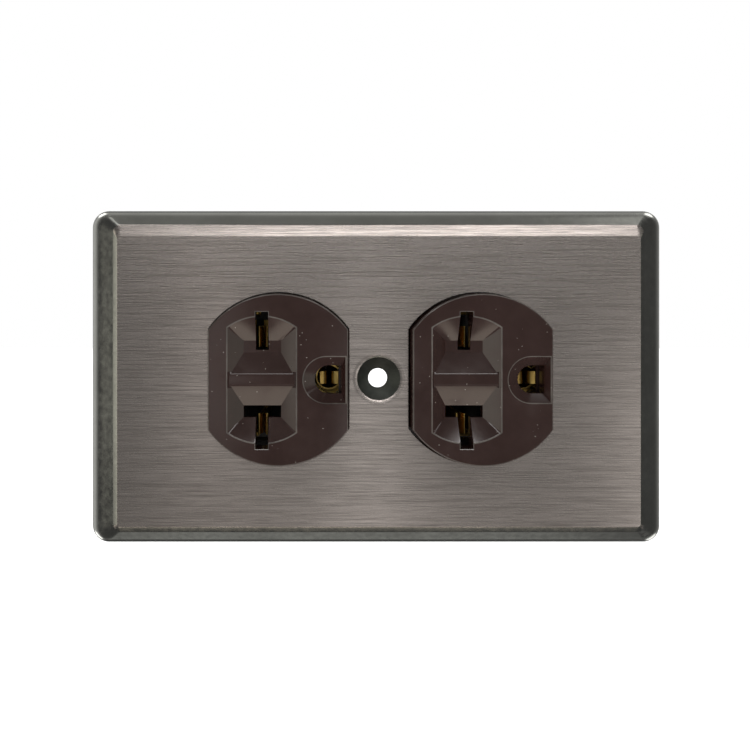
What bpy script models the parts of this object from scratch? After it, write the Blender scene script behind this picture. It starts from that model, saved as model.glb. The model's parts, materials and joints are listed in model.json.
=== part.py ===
"""Single-gang metal wall plate over a 250 V, 20 A duplex receptacle, every piece a separate solid.

X runs along the plate's length and Z across its width. The wall plane is Y = 0, the front faces -Y and
the receptacle's body reaches back along +Y into the wall box. The origin is the plate's centre on the wall.
"""

import math

import bmesh
import bpy
from mathutils import Matrix, Vector

MM = 0.001
GAP = 0.3 * MM

# Wall plate
PLATE_LENGTH = 114.3 * MM
PLATE_WIDTH = 66.7 * MM
PLATE_DEPTH = 5.6 * MM
SHEET = 0.9 * MM
PLATE_CORNER = 3.4 * MM
END_RIM_RUN = 5.4 * MM
SIDE_RIM_RUN = 3.7 * MM
RIM_EDGE = 1.4 * MM
PLATE_OPENING_GAP = 0.5 * MM
PLATE_HOLE_RADIUS = 2.1 * MM
PLATE_DISH_RADIUS = 4.4 * MM
PLATE_DISH_DEPTH = 2.25 * MM

# Receptacle front
OUTLET_X = 19.45 * MM
FACE_RADIUS = 16.4 * MM
FACE_HALF_WIDTH = 13.35 * MM
FACE_FRONT = -8.1 * MM
FLANGE_FRONT = -3.0 * MM
FACE_WALL = 3.3 * MM
BODY_HALF_LENGTH = 34.5 * MM
BODY_HALF_WIDTH = 17.2 * MM
BODY_DEPTH = 24.0 * MM

# Blade slots and funnels, measured from the centre of one outlet face
BLADE_X = -3.1 * MM
SLOT_WIDTH = 2.45 * MM
SLOT_INNER = 5.6 * MM
SLOT_OUTER = 12.8 * MM
T_BAR_HALF_LENGTH = 3.6 * MM
T_BAR_INNER = 5.1 * MM
T_BAR_OUTER = 7.4 * MM
T_STEM_END = 13.1 * MM
FUNNEL_HALF_WIDTH = 6.6 * MM
FUNNEL_SIDE_END = 9.95 * MM
FUNNEL_ARC_END = 12.1 * MM
FUNNEL_DEPTH = 2.0 * MM
RIDGE_HALF_WIDTH = 1.05 * MM
RIDGE_DROP = 0.5 * MM

# Ground pin hole, a D with its flat towards +X
GROUND_X = 9.5 * MM
GROUND_OUTER = (4.7 * MM, 12.9 * MM, 4.45 * MM)
GROUND_INNER = (7.0 * MM, 12.1 * MM, 2.7 * MM)
GROUND_FUNNEL_DEPTH = 1.3 * MM

# Mounting strap
STRAP_THICKNESS = 1.3 * MM
STRAP_HALF_WIDTH = 4.5 * MM
STRAP_HALF_LENGTH = 52.5 * MM
EAR_START = 36.0 * MM
EAR_HALF_WIDTH = 14.0 * MM
STRAP_CENTRE_HOLE = 2.75 * MM
STRAP_GROUND_HOLE = 3.1 * MM
BOX_SCREW_X = 41.65 * MM
BOX_SLOT_HALF_LENGTH = 3.5 * MM
BOX_SLOT_HALF_WIDTH = 2.1 * MM

# Passage for the plate screw through the body, wider at the back
PASSAGE_FRONT_RADIUS = 3.0 * MM
PASSAGE_BACK_RADIUS = 7.4 * MM

# Contacts
CONTACT_SHEET = 0.8 * MM
LEAF_SHEET = 0.6 * MM
LEAF_GAP = 0.5 * MM
LEAF_FRONT = -3.9 * MM
CONTACT_ARM_Y = 10.5 * MM
RAIL_Z = 12.5 * MM
RAIL_Y = (5.0 * MM, 16.6 * MM)
RECESS_Z = 12.2 * MM
RECESS_Y = (3.6 * MM, 18.0 * MM)
RECESS_HALF_LENGTH = 27.0 * MM

# Terminals
TERMINAL_X = 9.5 * MM
TERMINAL_Y = 11.0 * MM
SCREW_RADIUS = 2.05 * MM
SCREW_HEAD_RADIUS = 3.9 * MM
SCREW_HEAD_HEIGHT = 2.0 * MM
SCREW_REACH = 6.0 * MM
CLAMP_SIZE = 8.4 * MM
CLAMP_THICKNESS = 1.0 * MM
WIRE_HOLE_RADIUS = 1.15 * MM
WIRE_HOLE_SPREAD = 3.0 * MM

# Ground terminal on a tab folded back from the left ear
TAB_Z = -9.4 * MM
TAB_Y = 6.4 * MM
TAB_X = -35.3 * MM
TAB_THICKNESS = 1.0 * MM

# Fasteners
BOX_SCREW_RADIUS = 1.75 * MM
BOX_SCREW_HEAD_RADIUS = 3.6 * MM
BOX_SCREW_HEAD_HEIGHT = 2.1 * MM
BOX_SCREW_END = 22.0 * MM
WASHER_HALF_SIZE = 4.6 * MM
WASHER_THICKNESS = 0.8 * MM
ASSEMBLY_X = 31.3 * MM
ASSEMBLY_Z = 14.0 * MM
ASSEMBLY_RADIUS = 1.1 * MM
ASSEMBLY_HEAD_RADIUS = 2.0 * MM
ASSEMBLY_HEAD_HEIGHT = 1.3 * MM
RIVET_OFFSET = 7.0 * MM
RIVET_RADIUS = 1.2 * MM
RIVET_HEAD_RADIUS = 2.1 * MM
RIVET_HEAD_HEIGHT = 0.6 * MM

ARC_STEPS = 10
ROUND_STEPS = 24
PAST = 1.0 * MM

for existing in list(bpy.data.objects):
    bpy.data.objects.remove(existing, do_unlink=True)

parts = bpy.data.collections.new("wall_plate_cover")
cutters = bpy.data.collections.new("cutters")
for collection in (parts, cutters):
    bpy.context.scene.collection.children.link(collection)


def make_material(name, colour, roughness, metallic):
    """A Principled material of one colour."""
    material = bpy.data.materials.new(name)
    material.use_nodes = True
    shader = material.node_tree.nodes["Principled BSDF"]
    shader.inputs["Base Color"].default_value = (*colour, 1.0)
    shader.inputs["Roughness"].default_value = roughness
    shader.inputs["Metallic"].default_value = metallic
    return material


NICKEL = make_material("antique_nickel", (0.20, 0.18, 0.165), 0.35, 1.0)
BROWN = make_material("brown_plastic", (0.045, 0.028, 0.025), 0.12, 0.0)
BLACK = make_material("black_plastic", (0.02, 0.02, 0.02), 0.45, 0.0)
ZINC = make_material("zinc_steel", (0.55, 0.55, 0.53), 0.35, 1.0)
BRASS = make_material("brass", (0.55, 0.38, 0.12), 0.3, 1.0)
GREEN = make_material("green_steel", (0.03, 0.22, 0.06), 0.35, 0.6)
FIBRE = make_material("red_fibre", (0.28, 0.07, 0.04), 0.8, 0.0)


def add_part(name, mesh, material):
    """Puts a finished mesh in the parts collection under its node's name."""
    piece = bpy.data.objects.new(name, mesh)
    mesh.name = name
    mesh.materials.clear()
    mesh.materials.append(material)
    parts.objects.link(piece)
    return piece


def add_cutter(name, mesh):
    """Puts a mesh in the cutters collection, where it only shapes other pieces."""
    piece = bpy.data.objects.new(name, mesh)
    piece.hide_render = True
    piece.display_type = "WIRE"
    cutters.objects.link(piece)
    return piece


def mesh_of(bm):
    """Turns a bmesh into a mesh with its faces pointing out."""
    bmesh.ops.recalc_face_normals(bm, faces=bm.faces)
    mesh = bpy.data.meshes.new("shape")
    bm.to_mesh(mesh)
    bm.free()
    return mesh


def block(low, high):
    """A box between two corners."""
    bm = bmesh.new()
    bmesh.ops.create_cube(bm, size=1.0)
    size = Vector(high) - Vector(low)
    middle = (Vector(high) + Vector(low)) / 2
    bmesh.ops.scale(bm, vec=size, verts=bm.verts)
    bmesh.ops.translate(bm, vec=middle, verts=bm.verts)
    return mesh_of(bm)


def turn_to(axis):
    """The rotation that carries +Z to the given direction."""
    return Vector((0, 0, 1)).rotation_difference(Vector(axis)).to_matrix().to_4x4()


def rod(start, axis, length, radius, end_radius=None, steps=ROUND_STEPS):
    """A cylinder, or a cone when end_radius is given, from start along axis."""
    bm = bmesh.new()
    far = radius if end_radius is None else end_radius
    bmesh.ops.create_cone(
        bm, cap_ends=True, segments=steps, radius1=radius, radius2=far, depth=length
    )
    bmesh.ops.translate(bm, vec=(0, 0, length / 2), verts=bm.verts)
    bmesh.ops.transform(bm, matrix=Matrix.Translation(start) @ turn_to(axis), verts=bm.verts)
    return mesh_of(bm)


def hull(points):
    """The convex solid round a set of points."""
    bm = bmesh.new()
    for point in points:
        bm.verts.new(point)
    bmesh.ops.convex_hull(bm, input=bm.verts)
    flat = math.radians(0.5)
    bmesh.ops.dissolve_limit(bm, angle_limit=flat, verts=bm.verts, edges=bm.edges)
    return mesh_of(bm)


def filleted(corners, steps=6):
    """An outline through (x, z, radius) corners, each rounded by an arc of its radius."""
    outline = []
    for index, (x, z, radius) in enumerate(corners):
        corner = Vector((x, z))
        before = (Vector(corners[index - 1][:2]) - corner).normalized()
        after = (Vector(corners[(index + 1) % len(corners)][:2]) - corner).normalized()
        if radius <= 0:
            outline.append(tuple(corner))
            continue
        half_angle = before.angle(after) / 2
        centre = corner + (before + after).normalized() * radius / math.sin(half_angle)
        first = corner + before * radius / math.tan(half_angle) - centre
        last = corner + after * radius / math.tan(half_angle) - centre
        sweep = first.angle_signed(last)
        for step in range(steps + 1):
            turned = Matrix.Rotation(-sweep * step / steps, 2) @ first
            outline.append(tuple(centre + turned))
    return outline


def rectangle(half_x, half_z, radius, steps=6):
    """A rectangle centred on the origin with rounded corners."""
    corners = [(half_x, -half_z), (half_x, half_z), (-half_x, half_z), (-half_x, -half_z)]
    return filleted([(x, z, radius) for x, z in corners], steps)


def circle(x, z, radius, steps=ROUND_STEPS):
    """A round outline."""
    angles = [2 * math.pi * step / steps for step in range(steps)]
    return [(x + radius * math.cos(angle), z + radius * math.sin(angle)) for angle in angles]


def face_outline(centre_x, grow=0.0, steps=ARC_STEPS):
    """The outlet face: a circle cut by a flat on its left and right."""
    radius = FACE_RADIUS + grow
    flat = FACE_HALF_WIDTH + grow
    reach = math.acos(flat / radius)
    outline = []
    for start in (reach, math.pi + reach):
        sweep = math.pi - 2 * reach
        for step in range(2 * steps + 1):
            angle = start + sweep * step / (2 * steps)
            outline.append((centre_x + radius * math.cos(angle), radius * math.sin(angle)))
    return outline


def funnel_outline(side):
    """One blade funnel's mouth: straight sides from the ridge, closed by an arc on its outer end."""
    half = FUNNEL_HALF_WIDTH
    rise = FUNNEL_ARC_END - FUNNEL_SIDE_END
    arc_radius = (half * half + rise * rise) / (2 * rise)
    arc_centre = FUNNEL_ARC_END - arc_radius
    reach = math.asin(half / arc_radius)
    outline = [(-half, RIDGE_HALF_WIDTH), (half, RIDGE_HALF_WIDTH)]
    for step in range(ARC_STEPS + 1):
        angle = reach * (1 - 2 * step / ARC_STEPS)
        outline.append((arc_radius * math.sin(angle), arc_centre + arc_radius * math.cos(angle)))
    return [(x + BLADE_X, side * z) for x, z in outline]


def ground_outline(size):
    """The ground hole's D: a half circle on the left, square corners on the right."""
    left, right, radius = size
    centre = left + radius
    outline = [(right, -radius), (right, radius)]
    for step in range(ARC_STEPS + 1):
        angle = math.pi / 2 + math.pi * step / ARC_STEPS
        outline.append((centre + radius * math.cos(angle), radius * math.sin(angle)))
    return outline


def place(outline, y):
    """Carries an outline to the plane at depth y."""
    return [(x, y, z) for x, z in outline]


def shifted(outline, x):
    """Moves an outline along X."""
    return [(px + x, pz) for px, pz in outline]


def sheet(outlines, front, back):
    """A flat piece with holes, from a filled 2D curve, between the depths front and back."""
    curve = bpy.data.curves.new("outline", "CURVE")
    curve.dimensions = "2D"
    curve.fill_mode = "BOTH"
    curve.extrude = abs(back - front) / 2
    for outline in outlines:
        spline = curve.splines.new("POLY")
        spline.points.add(len(outline) - 1)
        for point, (x, z) in zip(spline.points, outline):
            point.co = (x, z, 0, 1)
        spline.use_cyclic_u = True
    drawn = bpy.data.objects.new("outline", curve)
    bpy.context.scene.collection.objects.link(drawn)
    bpy.context.view_layer.update()
    mesh = bpy.data.meshes.new_from_object(drawn.evaluated_get(bpy.context.evaluated_depsgraph_get()))
    bpy.data.objects.remove(drawn)
    bm = bmesh.new()
    bm.from_mesh(mesh)
    bmesh.ops.remove_doubles(bm, verts=bm.verts, dist=0.001 * MM)
    upright = Matrix.Translation((0, (front + back) / 2, 0)) @ Matrix.Rotation(math.pi / 2, 4, "X")
    bmesh.ops.transform(bm, matrix=upright, verts=bm.verts)
    return mesh_of(bm)


def combine(piece, operation, shapes):
    """Cuts shapes from a piece, or joins them to it, each with a Boolean modifier."""
    for number, shape in enumerate(shapes):
        tool = add_cutter(f"{piece.name}_{operation.lower()}_{number}", shape)
        modifier = piece.modifiers.new(tool.name, "BOOLEAN")
        modifier.operation = operation
        modifier.solver = "EXACT"
        modifier.object = tool
    return piece


def smooth(piece, degrees=30):
    """Shades round surfaces smooth and keeps the sharp edges sharp."""
    piece.data.shade_smooth()
    piece.data.set_sharp_from_angle(angle=math.radians(degrees))
    return piece


def loft(rings):
    """A skin through rings of equally many points, closed by one face at the last ring."""
    bm = bmesh.new()
    loops = [[bm.verts.new(point) for point in ring] for ring in rings]
    count = len(loops[0])
    for near, far in zip(loops, loops[1:]):
        for index in range(count):
            follow = (index + 1) % count
            bm.faces.new((near[index], near[follow], far[follow], far[index]))
    bm.faces.new(loops[-1])
    return mesh_of(bm)


def plate_ring(end_inset, side_inset, y, radius):
    """One rounded rectangle of the plate's rim, at depth y."""
    half_x = PLATE_LENGTH / 2 - end_inset
    half_z = PLATE_WIDTH / 2 - side_inset
    return place(rectangle(half_x, half_z, radius, steps=5), y)


def make_wall_plate():
    """Pressed sheet: upright edge, sloping rim that rolls over into the face, and a dished screw hole."""
    front = -PLATE_DEPTH
    rings = [
        plate_ring(0, 0, 0, PLATE_CORNER),
        plate_ring(0, 0, -RIM_EDGE, PLATE_CORNER),
        plate_ring(0.5 * MM, 0.5 * MM, -RIM_EDGE - 0.7 * MM, PLATE_CORNER - 0.4 * MM),
        plate_ring(0.82 * END_RIM_RUN, 0.78 * SIDE_RIM_RUN, front + 0.7 * MM, 1.8 * MM),
        plate_ring(END_RIM_RUN, SIDE_RIM_RUN, front + 0.2 * MM, 1.4 * MM),
        plate_ring(END_RIM_RUN + 1.8 * MM, SIDE_RIM_RUN + 1.8 * MM, front, 1.0 * MM),
    ]
    plate = add_part("wall_plate", loft(rings), NICKEL)
    shell = plate.modifiers.new("sheet", "SOLIDIFY")
    shell.thickness = SHEET
    shell.offset = -1
    dish_back = front + PLATE_DISH_DEPTH
    boss_start = (0, front + SHEET / 2, 0)
    boss_length = PLATE_DISH_DEPTH - SHEET / 2
    boss_radii = (PLATE_DISH_RADIUS + 0.7 * MM, PLATE_HOLE_RADIUS + 0.8 * MM)
    boss = rod(boss_start, (0, 1, 0), boss_length, *boss_radii)
    combine(plate, "UNION", [boss])
    dish_start = (0, front - 0.01 * MM, 0)
    dish_length = PLATE_DISH_DEPTH - 0.35 * MM
    dish_cone = rod(dish_start, (0, 1, 0), dish_length, PLATE_DISH_RADIUS, PLATE_HOLE_RADIUS)
    hole = rod((0, front - PAST, 0), (0, 1, 0), dish_back - front + 2 * PAST, PLATE_HOLE_RADIUS)
    openings = []
    for centre_x in (-OUTLET_X, OUTLET_X):
        outline = face_outline(centre_x, PLATE_OPENING_GAP)
        openings.append(sheet([outline], front - PAST, front + SHEET + PAST))
    combine(plate, "DIFFERENCE", [dish_cone, hole, *openings])
    return smooth(plate)


def outlet_cutters(centre_x):
    """Everything that is cut into one outlet face from the front."""
    shapes = []
    front = FACE_FRONT
    bottom = front + FUNNEL_DEPTH
    for side in (1, -1):
        mouth = place(shifted(funnel_outline(side), centre_x), front - 0.02 * MM)
        half = T_BAR_HALF_LENGTH
        flat = [(x, side * z) for x in (-half, half) for z in (T_BAR_INNER, T_BAR_OUTER)]
        floor = place(shifted(flat, centre_x + BLADE_X), bottom)
        shapes.append(hull(mouth + floor))
    slot_x = centre_x + BLADE_X
    ridge_half = FUNNEL_HALF_WIDTH - 0.25 * MM
    ridge_low = (slot_x - ridge_half, front - PAST, -2 * RIDGE_HALF_WIDTH)
    ridge_high = (slot_x + ridge_half, front + RIDGE_DROP, 2 * RIDGE_HALF_WIDTH)
    shapes.append(block(ridge_low, ridge_high))
    half_slot = SLOT_WIDTH / 2
    back = front + FACE_WALL + PAST
    slot_low = (slot_x - half_slot, front - PAST, SLOT_INNER)
    shapes.append(block(slot_low, (slot_x + half_slot, back, SLOT_OUTER)))
    bar = T_BAR_HALF_LENGTH
    t_corners = [
        (slot_x - bar, -T_BAR_INNER),
        (slot_x - bar, -T_BAR_OUTER),
        (slot_x - half_slot, -T_BAR_OUTER),
        (slot_x - half_slot, -T_STEM_END),
        (slot_x + half_slot, -T_STEM_END),
        (slot_x + half_slot, -T_BAR_OUTER),
        (slot_x + bar, -T_BAR_OUTER),
        (slot_x + bar, -T_BAR_INNER),
    ]
    shapes.append(sheet([t_corners], front - PAST, back))
    ground_mouth = place(shifted(ground_outline(GROUND_OUTER), centre_x), front - 0.02 * MM)
    ground_floor = place(shifted(ground_outline(GROUND_INNER), centre_x), front + GROUND_FUNNEL_DEPTH)
    shapes.append(hull(ground_mouth + ground_floor))
    ground_hole = shifted(ground_outline(GROUND_INNER), centre_x)
    shapes.append(sheet([ground_hole], front - PAST, back))
    return shapes


def make_face_cover():
    """Front moulding: two outlet faces standing on one flange, hollow behind and grooved for the strap."""
    flange_outline = rectangle(BODY_HALF_LENGTH, BODY_HALF_WIDTH, 2.0 * MM)
    cover = add_part("face_cover", sheet([flange_outline], FLANGE_FRONT, 0), BROWN)
    faces = [sheet([face_outline(x)], FACE_FRONT, FLANGE_FRONT / 2) for x in (-OUTLET_X, OUTLET_X)]
    combine(cover, "UNION", faces)
    shapes = []
    for centre_x in (-OUTLET_X, OUTLET_X):
        hollow = face_outline(centre_x, -1.6 * MM)
        shapes.append(sheet([hollow], FACE_FRONT + FACE_WALL, PAST))
    for centre_x in (-OUTLET_X, OUTLET_X):
        shapes += outlet_cutters(centre_x)
    groove = STRAP_HALF_WIDTH + GAP
    long = BODY_HALF_LENGTH + PAST
    shapes.append(block((-long, -STRAP_THICKNESS - GAP, -groove), (long, PAST, groove)))
    shapes.append(rod((0, FLANGE_FRONT - PAST, 0), (0, 1, 0), 2 * PAST + 3 * MM, PASSAGE_FRONT_RADIUS))
    for x in (-ASSEMBLY_X, ASSEMBLY_X):
        for z in (-ASSEMBLY_Z, ASSEMBLY_Z):
            shapes.append(rod((x, PAST, z), (0, -1, 0), PAST + 2.0 * MM, ASSEMBLY_RADIUS + GAP, steps=12))
    combine(cover, "DIFFERENCE", shapes)
    return smooth(cover, degrees=15)


def contact_cavity(centre_x, side):
    """Room in the body for one blade contact, open to the front and to the terminal recess."""
    half = (3.2 if side > 0 else 4.4) * MM
    slot_x = centre_x + BLADE_X
    z = sorted((side * 5.2 * MM, side * (RECESS_Z + PAST)))
    return block((slot_x - half, -PAST, z[0]), (slot_x + half, CONTACT_ARM_Y + 1.6 * MM, z[1]))


def make_base_body():
    """Rear moulding that holds the contacts, with terminal recesses along both sides."""
    outline = rectangle(BODY_HALF_LENGTH, BODY_HALF_WIDTH, 2.0 * MM)
    body = add_part("base_body", sheet([outline], GAP, BODY_DEPTH), BLACK)
    shapes = []
    for side in (1, -1):
        z = sorted((side * RECESS_Z, side * (BODY_HALF_WIDTH + PAST)))
        low = (-RECESS_HALF_LENGTH, RECESS_Y[0], z[0])
        high = (RECESS_HALF_LENGTH, RECESS_Y[1], z[1])
        shapes.append(block(low, high))
        for centre_x in (-OUTLET_X, OUTLET_X):
            shapes.append(contact_cavity(centre_x, side))
        for x in (-TERMINAL_X, TERMINAL_X):
            start = (x, TERMINAL_Y, side * (RECESS_Z + PAST))
            length = SCREW_REACH + PAST - 0.4 * MM
            shapes.append(rod(start, (0, 0, -side), length, SCREW_RADIUS + GAP, steps=16))
            for spread in (-WIRE_HOLE_SPREAD, WIRE_HOLE_SPREAD):
                entry = (x + spread, RECESS_Y[1] - PAST, side * 14.5 * MM)
                length = BODY_DEPTH - RECESS_Y[1] + 2 * PAST
                shapes.append(rod(entry, (0, 1, 0), length, WIRE_HOLE_RADIUS, steps=12))
    for centre_x in (-OUTLET_X, OUTLET_X):
        ground = centre_x + GROUND_X
        low = (ground - RIVET_OFFSET - 3.2 * MM, -PAST, -4.0 * MM)
        high = (ground + 4.0 * MM, 2.2 * MM, 4.0 * MM)
        shapes.append(block(low, high))
        leaf_room = (ground + 4.0 * MM, 12.4 * MM, 3.4 * MM)
        shapes.append(block((ground - 4.0 * MM, 2.0 * MM, -3.4 * MM), leaf_room))
    passage_length = BODY_DEPTH + 2 * PAST
    passage_start = (0, -PAST, 0)
    shapes.append(
        rod(passage_start, (0, 1, 0), passage_length, PASSAGE_FRONT_RADIUS - 0.1 * MM, PASSAGE_BACK_RADIUS)
    )
    for x in (-ASSEMBLY_X, ASSEMBLY_X):
        for z in (-ASSEMBLY_Z, ASSEMBLY_Z):
            shank = rod((x, -PAST, z), (0, 1, 0), BODY_DEPTH + 2 * PAST, ASSEMBLY_RADIUS + GAP, steps=12)
            sunk = ASSEMBLY_HEAD_HEIGHT + 0.4 * MM
            head_start = (x, BODY_DEPTH - sunk, z)
            head = rod(head_start, (0, 1, 0), sunk + PAST, ASSEMBLY_HEAD_RADIUS + GAP, steps=16)
            shapes += [shank, head]
    tab_room = (-BODY_HALF_LENGTH - PAST, TAB_Y, TAB_Z)
    shapes.append(rod(tab_room, (1, 0, 0), PAST + 4.0 * MM, SCREW_RADIUS + 0.6 * MM, steps=16))
    combine(body, "DIFFERENCE", shapes)
    return smooth(body)


def make_strap():
    """Plated steel strap between cover and body, with wide ears on the wall and a ground tab folded back."""
    corners = []
    for turn in (1, -1):
        ear = [
            (EAR_START, -STRAP_HALF_WIDTH, 1.0 * MM),
            (EAR_START, -EAR_HALF_WIDTH, 2.0 * MM),
            (STRAP_HALF_LENGTH, -EAR_HALF_WIDTH, 4.0 * MM),
            (STRAP_HALF_LENGTH, EAR_HALF_WIDTH, 4.0 * MM),
            (EAR_START, EAR_HALF_WIDTH, 2.0 * MM),
            (EAR_START, STRAP_HALF_WIDTH, 1.0 * MM),
        ]
        corners += [(turn * x, turn * z, radius) for x, z, radius in ear]
    outlines = [filleted(corners, steps=5), circle(0, 0, STRAP_CENTRE_HOLE)]
    for x in (-BOX_SCREW_X, BOX_SCREW_X):
        slot = rectangle(BOX_SLOT_HALF_LENGTH, BOX_SLOT_HALF_WIDTH, BOX_SLOT_HALF_WIDTH * 0.999)
        outlines.append(shifted(slot, x))
    for centre_x in (-OUTLET_X, OUTLET_X):
        ground = centre_x + GROUND_X
        outlines.append(circle(ground, 0, STRAP_GROUND_HOLE))
        outlines.append(circle(ground - RIVET_OFFSET, 0, RIVET_RADIUS + GAP, 12))
    strap = add_part("mounting_strap", sheet(outlines, -STRAP_THICKNESS, 0), ZINC)
    tab_low = (TAB_X - TAB_THICKNESS, -STRAP_THICKNESS / 2, TAB_Z - 3.2 * MM)
    tab_high = (TAB_X, TAB_Y + 4.6 * MM, TAB_Z + 3.2 * MM)
    combine(strap, "UNION", [block(tab_low, tab_high)])
    hole = rod((TAB_X + PAST, TAB_Y, TAB_Z), (-1, 0, 0), 4 * PAST, SCREW_RADIUS + GAP, steps=16)
    combine(strap, "DIFFERENCE", [hole])
    return smooth(strap)


def contact_rail(side):
    """Flat brass rail along one side: two terminal pads joined by a narrow break-off link."""
    low_y, high_y = RAIL_Y
    left = -OUTLET_X - 6.0 * MM
    right = OUTLET_X + 2.0 * MM
    link = (TERMINAL_Y + 2.0 * MM, TERMINAL_Y + 4.2 * MM)
    half_notch = 3.4 * MM
    outline = [
        (left, low_y),
        (-half_notch, low_y),
        (-half_notch, link[0]),
        (half_notch, link[0]),
        (half_notch, low_y),
        (right, low_y),
        (right, high_y),
        (half_notch, high_y),
        (half_notch, link[1]),
        (-half_notch, link[1]),
        (-half_notch, high_y),
        (left, high_y),
    ]
    holes = [circle(x, TERMINAL_Y, SCREW_RADIUS + GAP, 16) for x in (-TERMINAL_X, TERMINAL_X)]
    z = sorted((side * RAIL_Z, side * (RAIL_Z + CONTACT_SHEET)))
    rail = sheet([outline, *holes], -z[1], -z[0])
    rail.transform(Matrix.Rotation(-math.pi / 2, 4, "X"))
    return rail


def make_line_contact(name, side):
    """Brass strip: the rail, and for each outlet an arm that carries a pair of spring leaves."""
    contact = add_part(name, contact_rail(side), BRASS)
    shapes = []
    leaf_z = (6.0 * MM, 10.2 * MM) if side > 0 else (7.0 * MM, 11.2 * MM)
    for centre_x in (-OUTLET_X, OUTLET_X):
        x = centre_x + BLADE_X
        reach = LEAF_GAP / 2 + LEAF_SHEET
        arm_z = sorted((side * leaf_z[0], side * (RAIL_Z + CONTACT_SHEET / 2)))
        arm_low = (x - reach, CONTACT_ARM_Y, arm_z[0])
        arm_high = (x + reach, CONTACT_ARM_Y + CONTACT_SHEET, arm_z[1])
        shapes.append(block(arm_low, arm_high))
        for hand in (-1, 1):
            leaf_x = sorted((x + hand * LEAF_GAP / 2, x + hand * reach))
            leaf_span = sorted((side * leaf_z[0], side * leaf_z[1]))
            low = (leaf_x[0], LEAF_FRONT, leaf_span[0])
            high = (leaf_x[1], CONTACT_ARM_Y + CONTACT_SHEET / 2, leaf_span[1])
            shapes.append(block(low, high))
    combine(contact, "UNION", shapes)
    return smooth(contact)


def make_ground_contact(name, centre_x):
    """Brass contact under the strap: a riveted foot with a round mouth and two leaves behind it."""
    ground = centre_x + GROUND_X
    foot_outline = filleted(
        [
            (ground + 3.6 * MM, -3.6 * MM, 0.8 * MM),
            (ground + 3.6 * MM, 3.6 * MM, 0.8 * MM),
            (ground - RIVET_OFFSET - 2.8 * MM, 3.6 * MM, 0.8 * MM),
            (ground - RIVET_OFFSET - 2.8 * MM, -3.6 * MM, 0.8 * MM),
        ],
        steps=3,
    )
    holes = [circle(ground, 0, 2.75 * MM), circle(ground - RIVET_OFFSET, 0, RIVET_RADIUS + GAP, 12)]
    contact = add_part(name, sheet([foot_outline, *holes], GAP, GAP + CONTACT_SHEET), BRASS)
    leaves = []
    for hand in (-1, 1):
        corners = []
        for z in (-2.2 * MM, 2.2 * MM):
            for x, y in ((3.4, 0.6), (2.0, 0.6), (0.55, 8.0), (0.55, 11.0), (1.25, 11.0), (1.25, 8.0)):
                corners.append((ground + hand * x * MM, y * MM, z))
        leaves.append(hull(corners))
    combine(contact, "UNION", leaves)
    return smooth(contact)


def headed_pin(name, start, axis, profile, material, steps=ROUND_STEPS):
    """A turned fastener: its (radius, distance) profile is screwed round its axis from start."""
    mesh = bpy.data.meshes.new(name)
    points = [(radius, 0, distance) for radius, distance in profile]
    edges = [(index, index + 1) for index in range(len(points) - 1)]
    mesh.from_pydata(points, edges, [])
    pin = add_part(name, mesh, material)
    pin.matrix_world = Matrix.Translation(start) @ turn_to(axis)
    turning = pin.modifiers.new("turn", "SCREW")
    turning.steps = steps
    turning.render_steps = steps
    turning.use_merge_vertices = True
    turning.merge_threshold = 0.00001
    return pin


def drive_slot(pin, width, depth, reach):
    """Cuts a screwdriver slot across the head, whose top is at the pin's own origin."""
    slot = block((-reach, -width / 2, -depth), (reach, width / 2, PAST))
    combine(pin, "DIFFERENCE", [slot])
    tool = pin.modifiers[-1].object
    tool.matrix_world = pin.matrix_world
    return pin


def screw_profile(head_radius, head_height, radius, reach, crown):
    """Outline of a screw from the middle of its head to its tip."""
    return [
        (0, 0),
        (head_radius * 0.55, -crown * 0.3),
        (head_radius * 0.86, -crown),
        (head_radius, -crown - 0.35 * MM),
        (head_radius, -head_height),
        (radius, -head_height),
        (radius, -head_height - reach + 0.6 * MM),
        (radius * 0.7, -head_height - reach),
        (0, -head_height - reach),
    ]


def make_terminal(tag, x, side):
    """A clamp plate and its binding screw on one side of the body."""
    clamp_front = RAIL_Z + CONTACT_SHEET + GAP
    clamp_back = clamp_front + CLAMP_THICKNESS
    half = CLAMP_SIZE / 2
    z = sorted((side * clamp_front, side * clamp_back))
    plate = block((x - half, TERMINAL_Y - half, z[0]), (x + half, TERMINAL_Y + half, z[1]))
    clamp = add_part(f"clamp_plate_{tag}", plate, ZINC)
    hole_start = (x, TERMINAL_Y, side * (clamp_front - PAST))
    hole = rod(hole_start, (0, 0, side), CLAMP_THICKNESS + 2 * PAST, SCREW_RADIUS + GAP, steps=16)
    combine(clamp, "DIFFERENCE", [hole])
    head_top = clamp_back + GAP + SCREW_HEAD_HEIGHT
    reach = head_top - SCREW_HEAD_HEIGHT - (RECESS_Z - SCREW_REACH + 0.8 * MM)
    profile = screw_profile(SCREW_HEAD_RADIUS, SCREW_HEAD_HEIGHT, SCREW_RADIUS, reach, 0.5 * MM)
    start = (x, TERMINAL_Y, side * head_top)
    screw = headed_pin(f"terminal_screw_{tag}", start, (0, 0, side), profile, BRASS)
    drive_slot(screw, 1.1 * MM, 1.1 * MM, 2 * SCREW_HEAD_RADIUS)
    smooth(clamp)
    return smooth(screw)


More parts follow.
